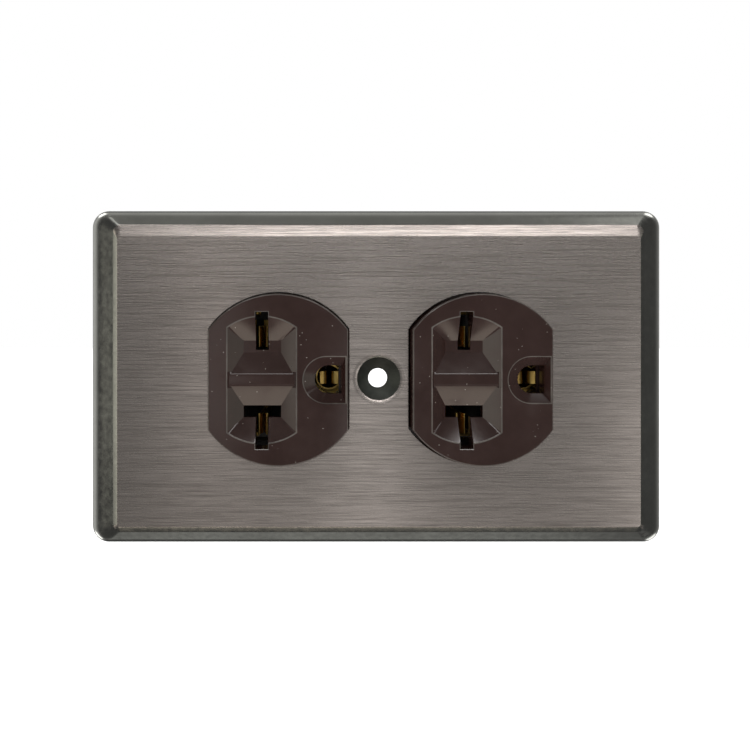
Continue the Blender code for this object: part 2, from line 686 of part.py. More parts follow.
def make_ground_terminal():
    """Green screw and cupped clamp on the strap's ground tab."""
    outer = TAB_X - TAB_THICKNESS
    clamp_high = outer - GAP
    clamp_low = clamp_high - CLAMP_THICKNESS
    half = 3.9 * MM
    low = (clamp_low, TAB_Y - half, TAB_Z - half)
    high = (clamp_high, TAB_Y + half, TAB_Z + half)
    clamp = add_part("ground_clamp", block(low, high), ZINC)
    hole = rod((clamp_high + PAST, TAB_Y, TAB_Z), (-1, 0, 0), 3 * PAST, SCREW_RADIUS + GAP, steps=16)
    combine(clamp, "DIFFERENCE", [hole])
    head_top = clamp_low - GAP - SCREW_HEAD_HEIGHT
    reach = 5.6 * MM
    profile = screw_profile(SCREW_HEAD_RADIUS, SCREW_HEAD_HEIGHT, SCREW_RADIUS, reach, 0.4 * MM)
    screw = headed_pin("ground_screw", (head_top, TAB_Y, TAB_Z), (-1, 0, 0), profile, GREEN)
    drive_slot(screw, 1.1 * MM, 1.1 * MM, 2 * SCREW_HEAD_RADIUS)
    smooth(clamp)
    return smooth(screw)


def make_box_fastener(tag, x):
    """Long screw through an ear's slot, kept there by a fibre washer behind the ear."""
    head_top = -STRAP_THICKNESS - GAP - BOX_SCREW_HEAD_HEIGHT
    reach = BOX_SCREW_END + STRAP_THICKNESS + GAP
    crown = 0.9 * MM
    profile = screw_profile(BOX_SCREW_HEAD_RADIUS, BOX_SCREW_HEAD_HEIGHT, BOX_SCREW_RADIUS, reach, crown)
    screw = headed_pin(f"mounting_screw_{tag}", (x, head_top, 0), (0, -1, 0), profile, ZINC)
    drive_slot(screw, 0.9 * MM, 1.2 * MM, 2 * BOX_SCREW_HEAD_RADIUS)
    square = shifted(rectangle(WASHER_HALF_SIZE, WASHER_HALF_SIZE, 0.8 * MM, steps=3), x)
    hole = circle(x, 0, BOX_SCREW_RADIUS + GAP, 20)
    washer = add_part(f"retaining_washer_{tag}", sheet([square, hole], GAP, GAP + WASHER_THICKNESS), FIBRE)
    smooth(washer)
    return smooth(screw)


def make_assembly_screw(tag, x, z):
    """Screw from the back of the body into the cover's flange."""
    head_top = BODY_DEPTH - 0.1 * MM
    reach = head_top - ASSEMBLY_HEAD_HEIGHT + 1.6 * MM
    profile = screw_profile(ASSEMBLY_HEAD_RADIUS, ASSEMBLY_HEAD_HEIGHT, ASSEMBLY_RADIUS, reach, 0.3 * MM)
    screw = headed_pin(f"assembly_screw_{tag}", (x, head_top, z), (0, 1, 0), profile, ZINC, steps=16)
    drive_slot(screw, 0.6 * MM, 0.7 * MM, 2 * ASSEMBLY_HEAD_RADIUS)
    return smooth(screw)


def make_rivet(tag, x):
    """Rivet that holds a ground contact to the strap: a head on each side of the stack."""
    front = -STRAP_THICKNESS - GAP
    back = 2 * GAP + CONTACT_SHEET
    profile = [
        (0, RIVET_HEAD_HEIGHT - front),
        (RIVET_HEAD_RADIUS * 0.7, RIVET_HEAD_HEIGHT - front),
        (RIVET_HEAD_RADIUS, -front + 0.15 * MM),
        (RIVET_HEAD_RADIUS, -front),
        (RIVET_RADIUS, -front),
        (RIVET_RADIUS, -back),
        (RIVET_HEAD_RADIUS * 0.9, -back),
        (RIVET_HEAD_RADIUS * 0.9, -back - 0.15 * MM),
        (RIVET_HEAD_RADIUS * 0.6, -back - 0.5 * MM),
        (0, -back - 0.5 * MM),
    ]
    return smooth(headed_pin(f"ground_rivet_{tag}", (x, 0, 0), (0, -1, 0), profile, BRASS, steps=16))


make_wall_plate()
make_face_cover()
make_base_body()
make_strap()
for side_name, side in (("upper", 1), ("lower", -1)):
    make_line_contact(f"line_contact_{side_name}", side)
    for end_name, x in (("left", -TERMINAL_X), ("right", TERMINAL_X)):
        make_terminal(f"{side_name}_{end_name}", x, side)
    for end_name, x in (("left", -ASSEMBLY_X), ("right", ASSEMBLY_X)):
        make_assembly_screw(f"{side_name}_{end_name}", x, side * ASSEMBLY_Z)
for end_name, hand in (("left", -1), ("right", 1)):
    make_ground_contact(f"ground_contact_{end_name}", hand * OUTLET_X)
    make_rivet(end_name, hand * OUTLET_X + GROUND_X - RIVET_OFFSET)
    make_box_fastener(end_name, hand * BOX_SCREW_X)
make_ground_terminal()
bpy.context.view_layer.update()
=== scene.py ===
"""Looks of the wall plate and its duplex receptacle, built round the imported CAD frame.

Every piece is remade finer than its CAD node, with the same driving dimensions, and rides on the node's body.
X runs along the plate, Z across it, the front faces -Y, and all lengths are in metres.
"""

import json
import math

import bmesh
import bpy
from mathutils import Matrix, Vector

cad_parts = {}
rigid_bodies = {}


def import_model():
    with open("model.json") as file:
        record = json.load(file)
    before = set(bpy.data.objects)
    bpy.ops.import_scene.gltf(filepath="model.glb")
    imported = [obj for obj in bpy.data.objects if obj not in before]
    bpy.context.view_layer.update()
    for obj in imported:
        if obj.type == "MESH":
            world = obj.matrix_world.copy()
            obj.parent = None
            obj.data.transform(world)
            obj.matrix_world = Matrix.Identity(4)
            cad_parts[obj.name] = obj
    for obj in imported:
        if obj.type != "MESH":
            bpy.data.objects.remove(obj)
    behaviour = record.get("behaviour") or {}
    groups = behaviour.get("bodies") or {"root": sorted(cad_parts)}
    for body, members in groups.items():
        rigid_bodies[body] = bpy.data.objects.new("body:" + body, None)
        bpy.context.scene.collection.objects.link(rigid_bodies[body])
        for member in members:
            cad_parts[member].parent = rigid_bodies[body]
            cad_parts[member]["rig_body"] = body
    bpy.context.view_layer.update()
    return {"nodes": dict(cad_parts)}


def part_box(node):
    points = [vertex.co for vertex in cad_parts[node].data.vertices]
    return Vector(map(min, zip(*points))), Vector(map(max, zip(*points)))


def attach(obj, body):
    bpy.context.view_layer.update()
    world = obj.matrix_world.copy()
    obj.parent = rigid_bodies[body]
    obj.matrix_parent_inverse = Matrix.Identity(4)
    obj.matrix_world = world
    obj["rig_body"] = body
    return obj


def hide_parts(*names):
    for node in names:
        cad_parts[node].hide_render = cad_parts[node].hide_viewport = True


MM = 0.001
GAP = 0.3 * MM  # clearance between neighbouring pieces
PAST = 1.0 * MM  # how far a cutter reaches past the surface it opens
ARC_STEPS = 28
ROUND_STEPS = 64

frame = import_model()

# Camera: square to the wall, a little left of and above the plate's centre; the shift centres the plate
CAMERA_DISTANCE = 114.0 * MM
CAMERA_X = -14.9 * MM
CAMERA_Z = 11.4 * MM
LENS = 26.84
SENSOR = 36.0
FRAME_WIDTH = (CAMERA_DISTANCE - 1.0 * MM) * SENSOR / LENS
SHIFT_TRIM = (-0.0010, 0.0017)

# Wall plate, its outer size taken from the frame
plate_low, plate_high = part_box("wall_plate")
PLATE_HALF_LENGTH = plate_high.x
PLATE_HALF_WIDTH = plate_high.z
PLATE_FRONT = plate_low.y
SHEET = 0.9 * MM
END_RIM_RUN = 5.5 * MM
SIDE_RIM_RUN = 3.5 * MM
SHOULDER = -5.2 * MM
END_ROLL = 0.9 * MM
SIDE_FACET = 1.65 * MM
FACET_SHIFT = 0.55 * MM
OPENING_GAP = 0.3 * MM
HOLE_RADIUS = 1.9 * MM
DISH_RADIUS = 4.3 * MM
DISH_DEPTH = 1.6 * MM
RIM_AND_SHADE_SLOT, BACK_SLOT, DISH_SLOT = 1, 2, 3
BRUSH_REPEATS = 8

# Receptacle front, measured from the centre of one outlet face; ground holes are (left, right, radius)
cover_low, cover_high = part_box("face_cover")
OUTLET_X = 19.45 * MM
OUTLETS = (-OUTLET_X, OUTLET_X)
FACE_FRONT = cover_low.y
FACE_RADIUS = 16.4 * MM
FACE_HALF_WIDTH = 13.35 * MM
FLANGE_FRONT = -3.0 * MM
FACE_WALL = 3.3 * MM
BODY_HALF_LENGTH = cover_high.x
BODY_HALF_WIDTH = cover_high.z
BODY_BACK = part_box("base_body")[1].y
BLADE_X = -3.1 * MM
SLOT_XS = (BLADE_X - OUTLET_X, BLADE_X + OUTLET_X)
SLOT_WIDTH = 2.45 * MM
SLOT_INNER = 5.6 * MM
SLOT_OUTER = 12.95 * MM
T_BAR_HALF_LENGTH = 3.6 * MM
T_BAR_INNER = 5.1 * MM
T_BAR_OUTER = 7.4 * MM
T_STEM_END = 13.1 * MM
FUNNEL_HALF_WIDTH = 6.6 * MM
FUNNEL_SIDE_END = 9.95 * MM
FUNNEL_ARC_END = 12.1 * MM
FUNNEL_DEPTH = 2.0 * MM
RIDGE_HALF_WIDTH = 0.1 * MM
RIDGE_FLAT = 0.8 * MM
RIDGE_CUT = 1.5 * MM
RIDGE_DROP = 0.36 * MM
RIDGE_SLOPE = 0.25
RIDGE_INSET = 0.45 * MM
COVER_CORNER = 2.0 * MM
EDGE_SLOT = 1
EDGE_ROUND = 0.32 * MM
MOUTH_ROUND = 0.13 * MM
MOUTH_ROUND_DEPTH = 0.07 * MM
GROUND_ROUND = 0.1 * MM
SLOT_END_DEPTH = 0.1 * MM
GROUND_X = 9.5 * MM
GROUND_OUTER = (4.7 * MM, 12.9 * MM, 4.45 * MM)
GROUND_INNER = (7.0 * MM, 12.1 * MM, 2.7 * MM)
GROUND_FUNNEL_DEPTH = 1.3 * MM
EYELET_SHIFT = 0.4 * MM
EYELET_RADIUS = 2.3 * MM
EYELET_WALL = 0.28 * MM
EYELET_FRONT = -1.5 * MM

# Strap, body and terminals; heads are (radius, height), driver slots (width, depth), and a dictionary
# holds a size for the upper side, 1, and the lower side, -1
STRAP_THICKNESS = 1.3 * MM
STRAP_HALF_WIDTH = 4.5 * MM
STRAP_HALF_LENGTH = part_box("mounting_strap")[1].x
EAR_START = 36.0 * MM
EAR_HALF_WIDTH = 14.0 * MM
STRAP_CENTRE_HOLE = 2.75 * MM
STRAP_GROUND_HOLE = 3.8 * MM
BOX_SCREW_X = 41.65 * MM
BOX_SLOT_HALF_LENGTH = 3.5 * MM
BOX_SLOT_HALF_WIDTH = 2.1 * MM
PASSAGE_FRONT_RADIUS = 3.0 * MM
PASSAGE_BACK_RADIUS = 7.4 * MM
CONTACT_SHEET = 0.8 * MM
CONTACT_ARM_Y = 10.5 * MM
ARM_HALF_WIDTH = 0.85 * MM
RAIL_Z = 12.5 * MM
RAIL_Y = (5.0 * MM, 16.6 * MM)
RECESS_Z = 12.2 * MM
RECESS_Y = (3.6 * MM, 18.0 * MM)
# Black bars across each contact chamber behind the blade slot's outer end: a dark block standing in for shade
# over the brass
SHADE_RIB_Y = (8.4 * MM, 9.2 * MM)
SHADE_RIB_START = 11.4 * MM
SHADE_RIB_HALF_LENGTH = 4.6 * MM
CHAMBER_START = 5.2 * MM
CHAMBER_HALF_WIDTH = {1: 3.2 * MM, -1: 4.4 * MM}
CHAMBER_FLOOR = CONTACT_ARM_Y + 1.6 * MM
GROUND_ROOM = 4.0 * MM
LEAF_ROOM = 3.4 * MM
GROUND_FLOOR = 12.4 * MM
RECESS_HALF_LENGTH = 27.0 * MM
TERMINAL_X = 9.5 * MM
TERMINAL_Y = 11.0 * MM
LINK_Y = (TERMINAL_Y + 2.0 * MM, TERMINAL_Y + 4.2 * MM)
LINK_HALF_LENGTH = 3.4 * MM
SCREW_RADIUS = 2.05 * MM
SCREW_PITCH = 0.794 * MM
SCREW_HEAD = (3.9 * MM, 2.0 * MM)
SCREW_REACH = 6.0 * MM
CLAMP_SIZE = 8.4 * MM
GROUND_CLAMP_SIZE = 7.8 * MM
CLAMP_THICKNESS = 1.0 * MM
RIDGE_GROOVE = ((-0.2 * MM, -0.05 * MM), (0.2 * MM, -0.05 * MM), (0.0, 0.22 * MM))
DRIVER_SLOT = (1.1 * MM, 1.1 * MM)
DOME_ANGLES = [math.pi / 2 * step / 8 for step in range(1, 8)]
WIRE_HOLE_RADIUS = 1.15 * MM
WIRE_HOLE_SPREAD = 3.0 * MM
WIRE_HOLE_Z = 14.5 * MM
TAB_Z = -9.4 * MM
TAB_Y = 6.4 * MM
TAB_X = -35.3 * MM
TAB_THICKNESS = 1.0 * MM
TAB_HALF_WIDTH = 3.2 * MM
TAB_REACH = 4.6 * MM
SCORE_Z = 7.6 * MM
SCORE = 0.22 * MM
BOX_SCREW_RADIUS = 1.75 * MM
BOX_SCREW_HEAD = (3.6 * MM, 2.1 * MM)
BOX_SCREW_END = 22.0 * MM
WASHER_HALF_SIZE = 4.6 * MM
WASHER_THICKNESS = 0.8 * MM
ASSEMBLY_X = 31.3 * MM
ASSEMBLY_Z = 14.0 * MM
ASSEMBLY_SPOTS = [(x, z) for x in (-ASSEMBLY_X, ASSEMBLY_X) for z in (-ASSEMBLY_Z, ASSEMBLY_Z)]
ASSEMBLY_RADIUS = 1.1 * MM
ASSEMBLY_HEAD = (2.0 * MM, 1.3 * MM)
ASSEMBLY_PITCH = 0.6 * MM
RIVET_OFFSET = 7.0 * MM
RIVET_RADIUS = 1.2 * MM
RIVET_HEAD_RADIUS = 2.1 * MM
RIVET_HEAD_HEIGHT = 0.6 * MM

# Sprung leaves: the blades' spans across the plate, and each bend as (distance from the middle, depth) in mm
LEAF_FRONT = -3.8
LEAF_SPAN = {1: (6.0 * MM, 10.2 * MM), -1: (7.0 * MM, 11.2 * MM)}
BLADE_LEAF = ((0.55, 10.8), (0.6, 8.0), (0.42, 3.0), (0.3, -0.8), (0.42, -2.4), (0.85, LEAF_FRONT))
GROUND_LEAF = ((3.2, 0.75), (2.5, 1.0), (1.7, 2.6), (0.95, 5.2), (0.75, 7.6), (1.0, 10.6))
GROUND_FLARE = ((1.85, -3.5), (0.72, -3.05), (0.6, -1.5), (0.62, 1.0), (0.8, 5.0))


# ---------------- materials


def add_node(tree, kind, values=(), **settings):
    """Adds a shader node with its settings; each value is a constant or another node's output."""
    node = tree.nodes.new(kind)
    for name, value in settings.items():
        setattr(node, name, value)
    for socket, value in dict(values).items():
        if isinstance(value, bpy.types.NodeSocket):
            tree.links.new(value, node.inputs[socket])
        else:
            node.inputs[socket].default_value = value
    return node


class Shade:
    """A material under construction: its Principled shader, and the texture nodes that feed it."""

    def __init__(self, name, colour, roughness, metallic=0.0, specular=0.5):
        self.material = bpy.data.materials.new(name)
        self.material.use_nodes = True
        self.tree = self.material.node_tree
        self.shader = self.tree.nodes["Principled BSDF"]
        self.set("Base Color", (*colour, 1.0))
        self.set("Roughness", roughness)
        self.set("Metallic", metallic)
        self.set("Specular IOR Level", specular)
        self.coordinates = add_node(self.tree, "ShaderNodeTexCoord").outputs["Object"]

    def set(self, socket, value):
        self.shader.inputs[socket].default_value = value

    def feed(self, socket, output):
        self.tree.links.new(output, self.shader.inputs[socket])

    def stretched(self, scale):
        """Object coordinates scaled along each axis, so that a texture's grain can run one way."""
        scale = scale if isinstance(scale, tuple) else (scale,) * 3
        values = {"Scale": scale, "Vector": self.coordinates}
        return add_node(self.tree, "ShaderNodeMapping", values).outputs["Vector"]

    def noise(self, scale, detail=2.0, rough=0.5):
        """Fractal noise with one scale or one along each axis, in features per metre."""
        values = {"Scale": 1.0, "Detail": detail, "Roughness": rough, "Vector": self.stretched(scale)}
        return add_node(self.tree, "ShaderNodeTexNoise", values).outputs["Fac"]

    def cells(self, scale, output="Distance"):
        """Voronoi cells, for specks and spangle."""
        values = {"Scale": 1.0, "Vector": self.stretched(scale)}
        return add_node(self.tree, "ShaderNodeTexVoronoi", values).outputs[output]

    def ramp(self, factor, *stops):
        """Maps a factor through a colour ramp of two (place, grey or colour) stops or more."""
        node = add_node(self.tree, "ShaderNodeValToRGB", {"Fac": factor})
        elements = node.color_ramp.elements
        while len(elements) < len(stops):
            elements.new(0.5)
        for element, (place, value) in zip(elements, stops):
            element.position = place
            colour = value if isinstance(value, tuple) else (value,) * 3
            element.color = (*colour, 1.0)
        return node.outputs["Color"]

    def math(self, operation, first, second):
        values = {0: first, 1: second}
        return add_node(self.tree, "ShaderNodeMath", values, operation=operation).outputs["Value"]

    def mix(self, factor, first, second, blend="MIX"):
        """Mixes two colours, each an output or an RGBA tuple."""
        values = {0: factor, 6: first, 7: second}
        return add_node(self.tree, "ShaderNodeMix", values, data_type="RGBA", blend_type=blend).outputs[2]

    def clouded(self, factor, colours, roughnesses):
        """Feeds colour and roughness from one factor, each between two values."""
        for socket, (low, high) in (("Base Color", colours), ("Roughness", roughnesses)):
            self.feed(socket, self.ramp(factor, (0.3, low), (0.7, high)))

    def brushed_along(self, layer):
        """Stretches highlights along the U direction of a UV layer, across the brushing."""
        node = add_node(self.tree, "ShaderNodeTangent", direction_type="UV_MAP", uv_map=layer)
        self.feed("Tangent", node.outputs["Tangent"])

    def bump(self, height, strength, distance):
        values = {"Strength": strength, "Distance": distance, "Height": height}
        self.feed("Normal", add_node(self.tree, "ShaderNodeBump", values).outputs["Normal"])


def brushed_nickel():
    """Warm grey face of the plate: fine hairlines along X over slow patches of tone."""
    shade = Shade("plate_brushed_nickel", (0.3, 0.26, 0.235), 0.3, metallic=1.0)
    shade.set("Anisotropic", 0.6)
    shade.brushed_along("brush")
    hair = shade.noise((160, 900, 5200), rough=0.6)
    strand = shade.noise((60, 400, 2400))
    patch = shade.noise((22, 22, 60))
    grain = shade.math("ADD", shade.math("MULTIPLY", hair, 0.55), shade.math("MULTIPLY", strand, 0.45))
    tone = shade.ramp(grain, (0.34, (0.29, 0.261, 0.244)), (0.66, (0.54, 0.489, 0.459)))
    patches = shade.ramp(patch, (0.3, 0.93), (0.7, 1.05))
    shade.feed("Base Color", shade.mix(1.0, tone, patches, "MULTIPLY"))
    shade.feed("Roughness", shade.ramp(grain, (0.25, 0.30), (0.75, 0.24)))
    shade.bump(grain, 0.25, 0.008 * MM)
    return shade.material


def rim_nickel():
    """Polished sloping rim: darker, cooler, unbrushed, faint rub marks; also painted shade on the bottom
    facet.
    """
    shade = Shade("plate_rim_nickel", (0.22, 0.22, 0.205), 0.2, metallic=1.0)
    cloud = shade.noise(90, detail=3.0)
    rub = shade.noise(900)
    shade.feed("Base Color", shade.ramp(cloud, (0.3, (0.225, 0.225, 0.210)), (0.7, (0.265, 0.265, 0.248))))
    shade.feed("Roughness", shade.ramp(rub, (0.3, 0.16), (0.7, 0.26)))
    shade.bump(rub, 0.08, 0.01 * MM)
    return shade.material


def dish_nickel():
    """Painted shade inside the dished screw hole: darker, duller nickel standing in for the shade in the
    hollow.
    """
    shade = Shade("plate_dish_painted_shade", (0.06, 0.063, 0.056), 0.5, metallic=1.0)
    cloud = shade.noise(500, detail=3.0)
    shade.clouded(cloud, ((0.06, 0.064, 0.057), (0.1, 0.105, 0.095)), (0.45, 0.6))
    return shade.material


def back_nickel():
    """Unpolished inside of the pressed sheet."""
    shade = Shade("plate_back_metal", (0.33, 0.31, 0.28), 0.5, metallic=1.0)
    mill = shade.noise((60, 300, 900), detail=3.0)
    shade.clouded(mill, ((0.25, 0.235, 0.21), (0.38, 0.36, 0.33)), (0.58, 0.42))
    shade.bump(mill, 0.15, 0.02 * MM)
    return shade.material


def brown_plastic(name, dark, pale):
    """Glossy dark brown moulding with smears in the gloss and sparse pale dust."""
    shade = Shade(name, (0.028, 0.013, 0.0105), 0.12)
    smear = shade.noise(160, detail=4.0, rough=0.6)
    dust = shade.math("LESS_THAN", shade.cells(900), 0.075)
    thin = shade.math("GREATER_THAN", shade.noise(300, detail=1.0), 0.51)
    specks = shade.math("MULTIPLY", dust, thin)
    clean = shade.ramp(smear, (0.3, dark), (0.7, pale))
    shade.feed("Base Color", shade.mix(specks, clean, (0.32, 0.29, 0.26, 1.0)))
    shade.feed("Roughness", shade.ramp(smear, (0.35, 0.08), (0.6, 0.14), (0.75, 0.26)))
    shade.bump(shade.noise(900), 0.05, 0.02 * MM)
    return shade.material


def black_plastic():
    """Dark thermoset body with a fine moulded grain."""
    shade = Shade("body_black_plastic", (0.022, 0.021, 0.02), 0.42)
    cloud = shade.noise(90, detail=3.0)
    shade.clouded(cloud, ((0.016, 0.015, 0.0145), (0.030, 0.028, 0.027)), (0.36, 0.5))
    shade.bump(shade.noise(2600), 0.3, 0.03 * MM)
    return shade.material


def zinc_steel():
    """Bright zinc plating with soft cloudy spangle and mill lines."""
    shade = Shade("zinc_plated_steel", (0.56, 0.56, 0.54), 0.34, metallic=1.0)
    spangle = shade.cells(260, output="Color")
    cloud = shade.noise(180, detail=4.0)
    tone = shade.ramp(cloud, (0.3, (0.45, 0.45, 0.435)), (0.7, (0.64, 0.64, 0.62)))
    shade.feed("Base Color", shade.mix(0.12, tone, spangle, "OVERLAY"))
    shade.feed("Roughness", shade.ramp(cloud, (0.3, 0.44), (0.7, 0.27)))
    shade.bump(shade.noise((120, 900, 900)), 0.12, 0.02 * MM)
    return shade.material


def brass():
    """Rolled brass strip: yellow, with browner tarnish in patches."""
    shade = Shade("rolled_brass", (0.6, 0.4, 0.12), 0.28, metallic=1.0)
    tarnish = shade.noise(260, detail=4.0, rough=0.6)
    shade.feed("Base Color", shade.ramp(tarnish, (0.3, (0.46, 0.29, 0.08)), (0.6, (0.76, 0.54, 0.18))))
    shade.feed("Roughness", shade.ramp(tarnish, (0.3, 0.42), (0.7, 0.22)))
    shade.bump(shade.noise((300, 300, 2400)), 0.12, 0.02 * MM)
    return shade.material


def green_steel():
    """Green dyed plating of the ground screw, in clouds of paler and darker green."""
    shade = Shade("green_dyed_plating", (0.03, 0.24, 0.07), 0.33, metallic=0.75)
    cloud = shade.noise(400, detail=4.0)
    shade.clouded(cloud, ((0.015, 0.16, 0.045), (0.05, 0.32, 0.11)), (0.42, 0.26))
    return shade.material


def red_fibre():
    """Vulcanised fibre washer: dull red-brown with flecks of fibre."""
    shade = Shade("vulcanised_fibre", (0.28, 0.07, 0.04), 0.78)
    fleck = shade.noise((500, 500, 2200), detail=4.0, rough=0.7)
    shade.clouded(fleck, ((0.19, 0.042, 0.026), (0.36, 0.105, 0.06)), (0.85, 0.68))
    shade.bump(fleck, 0.35, 0.04 * MM)
    return shade.material


FACE_NICKEL = brushed_nickel()
RIM_NICKEL = rim_nickel()
DISH_NICKEL = dish_nickel()
BACK_NICKEL = back_nickel()
BROWN = brown_plastic("cover_brown_plastic", (0.0235, 0.0108, 0.0088), (0.0325, 0.0164, 0.0139))
# Lighter brown for the outlet faces' slanted rounded edges: a painted highlight standing in for the thin
# bright lines of light along them
BROWN_PAINTED_HIGHLIGHT = brown_plastic("cover_painted_edge_highlight", (0.055, 0.046, 0.041), (0.125, 0.109, 0.097))
BLACK = black_plastic()
ZINC = zinc_steel()
BRASS = brass()
GREEN = green_steel()
FIBRE = red_fibre()


# ---------------- shapes


def mesh_of(bm, outward=True):
    """Turns a bmesh into a mesh, by default with its faces made to point out."""
    if outward:
        bmesh.ops.recalc_face_normals(bm, faces=bm.faces)
    mesh = bpy.data.meshes.new("shape")
    bm.to_mesh(mesh)
    bm.free()
    return mesh


def block(corner, opposite):
    """A box between two opposite corners."""
    low, high = (Vector(map(pick, corner, opposite)) for pick in (min, max))
    bm = bmesh.new()
    bmesh.ops.create_cube(bm, size=1.0)
    bmesh.ops.scale(bm, vec=high - low, verts=bm.verts)
    bmesh.ops.translate(bm, vec=(high + low) / 2, verts=bm.verts)
    return mesh_of(bm)


def aimed(start, axis):
    """The move that carries the origin to start and +Z to the given direction."""
    turn = Vector((0, 0, 1)).rotation_difference(Vector(axis))
    return Matrix.Translation(start) @ turn.to_matrix().to_4x4()


def rod(start, axis, length, radius, end_radius=None, steps=ROUND_STEPS):
    """A cylinder, or a cone when end_radius is given, from start along axis."""
    bm = bmesh.new()
    far = radius if end_radius is None else end_radius
    bmesh.ops.create_cone(bm, cap_ends=True, segments=steps, radius1=radius, radius2=far, depth=length)
    bmesh.ops.translate(bm, vec=(0, 0, length / 2), verts=bm.verts)
    bmesh.ops.transform(bm, matrix=aimed(start, axis), verts=bm.verts)
    return mesh_of(bm)


def hull(points):
    """The convex solid round a set of points."""
    bm = bmesh.new()
    for point in points:
        bm.verts.new(point)
    bmesh.ops.convex_hull(bm, input=bm.verts)
    bmesh.ops.dissolve_limit(bm, angle_limit=math.radians(0.5), verts=bm.verts, edges=bm.edges)
    return mesh_of(bm)


def filleted(corners, steps=12):
    """An outline through (x, z, radius) corners, each rounded by an arc of its radius."""
    outline = []
    for index, (x, z, radius) in enumerate(corners):
        corner = Vector((x, z))
        before = (Vector(corners[index - 1][:2]) - corner).normalized()
        after = (Vector(corners[(index + 1) % len(corners)][:2]) - corner).normalized()
        half_angle = before.angle(after) / 2
        centre = corner + (before + after).normalized() * radius / math.sin(half_angle)
        first = corner + before * radius / math.tan(half_angle) - centre
        last = corner + after * radius / math.tan(half_angle) - centre
        sweep = first.angle_signed(last)
        for step in range(steps + 1):
            turned = Matrix.Rotation(-sweep * step / steps, 2) @ first
            outline.append(tuple(centre + turned))
    return outline


def rectangle(half_x, half_z, radius, steps=12):
    """A rectangle centred on the origin with rounded corners."""
    corners = [(half_x, -half_z), (half_x, half_z), (-half_x, half_z), (-half_x, -half_z)]
    return filleted([(x, z, radius) for x, z in corners], steps)


def circle(x, z, radius, steps=ROUND_STEPS):
    """A round outline."""
    angles = [2 * math.pi * step / steps for step in range(steps)]
    return [(x + radius * math.cos(angle), z + radius * math.sin(angle)) for angle in angles]


def face_outline(centre_x, grow=0.0, steps=ARC_STEPS):
    """The outlet face: a circle cut by a flat on its left and right."""
    radius = FACE_RADIUS + grow
    reach = math.acos((FACE_HALF_WIDTH + grow) / radius)
    sweep = math.pi - 2 * reach
    outline = []
    for start in (reach, math.pi + reach):
        for step in range(2 * steps + 1):
            angle = start + sweep * step / (2 * steps)
            outline.append((centre_x + radius * math.cos(angle), radius * math.sin(angle)))
    return outline


def funnel_outlines(centre_x, side):
    """One blade funnel's mouth, closed by an arc on its outer end, and its floor round the T slot's bar."""
    half = FUNNEL_HALF_WIDTH
    rise = FUNNEL_ARC_END - FUNNEL_SIDE_END
    arc_radius = (half * half + rise * rise) / (2 * rise)
    arc_centre = FUNNEL_ARC_END - arc_radius
    reach = math.asin(half / arc_radius)
    outline = [(-half, RIDGE_HALF_WIDTH), (half, RIDGE_HALF_WIDTH)]
    for step in range(ARC_STEPS + 1):
        angle = reach * (1 - 2 * step / ARC_STEPS)
        outline.append((arc_radius * math.sin(angle), arc_centre + arc_radius * math.cos(angle)))
    floor = [(x * T_BAR_HALF_LENGTH / half, T_BAR_OUTER) for x, _ in outline]
    floor[:2] = [(-T_BAR_HALF_LENGTH, T_BAR_INNER), (T_BAR_HALF_LENGTH, T_BAR_INNER)]
    return [[(x + centre_x + BLADE_X, side * z) for x, z in points] for points in (outline, floor)]


def grown(outline, by):
    """An outline stretched about its middle, so that it ends a little further out on every side."""
    spans = [(min(values), max(values)) for values in zip(*outline)]
    middle = [(low + high) / 2 for low, high in spans]
    stretch = [(high - low + 2 * by) / (high - low) for low, high in spans]
    return [tuple(m + (p - m) * k for p, m, k in zip(point, middle, stretch)) for point in outline]


def bridge(bm, loops):
    """Joins each loop of vertices to the next with a band of faces."""
    for near, far in zip(loops, loops[1:]):
        for index in range(len(near)):
            follow = (index + 1) % len(near)
            bm.faces.new((near[index], near[follow], far[follow], far[index]))


def lofted(rings):
    """A closed solid through a row of rings that have equally many points."""
    bm = bmesh.new()
    loops = [[bm.verts.new(point) for point in ring] for ring in rings]
    bridge(bm, loops)
    bm.faces.new(loops[0])
    bm.faces.new(loops[-1])
    return mesh_of(bm)


def sunk(mouth, floor, depth, by, ease):
    """A sloping recess in the outlet's face, from its rounded mouth down to its floor."""
    return lofted([*eased_mouth(mouth, by, ease), place(floor, FACE_FRONT + depth)])


def eased_mouth(outline, by, depth):
    """Two rings, one before the face and one behind it, that round the edge of a mouth by the given width."""
    above = place(grown(outline, 1.6 * by), FACE_FRONT - 0.3 * depth)
    return [above, place(grown(outline, -by), FACE_FRONT + depth)]


def ground_outline(size):
    """The ground hole's D: a half circle on the left, square corners on the right."""
    left, right, radius = size
    centre = left + radius
    outline = [(right, -radius), (right, radius)]
    for step in range(ARC_STEPS + 1):
        angle = math.pi / 2 + math.pi * step / ARC_STEPS
        outline.append((centre + radius * math.cos(angle), radius * math.sin(angle)))
    return outline


def place(outline, y):
    """Carries an outline to the plane at depth y."""
    return [(x, y, z) for x, z in outline]


def shifted(outline, x):
    """Moves an outline along X."""
    return [(px + x, pz) for px, pz in outline]


def placed(name, data):
    """A new object in the scene."""
    thing = bpy.data.objects.new(name, data)
    bpy.context.scene.collection.objects.link(thing)
    return thing


def applied(holder):
    """The mesh of an object with its modifiers, or its curve's fill, worked out."""
    bpy.context.view_layer.update()
    return bpy.data.meshes.new_from_object(holder.evaluated_get(bpy.context.evaluated_depsgraph_get()))


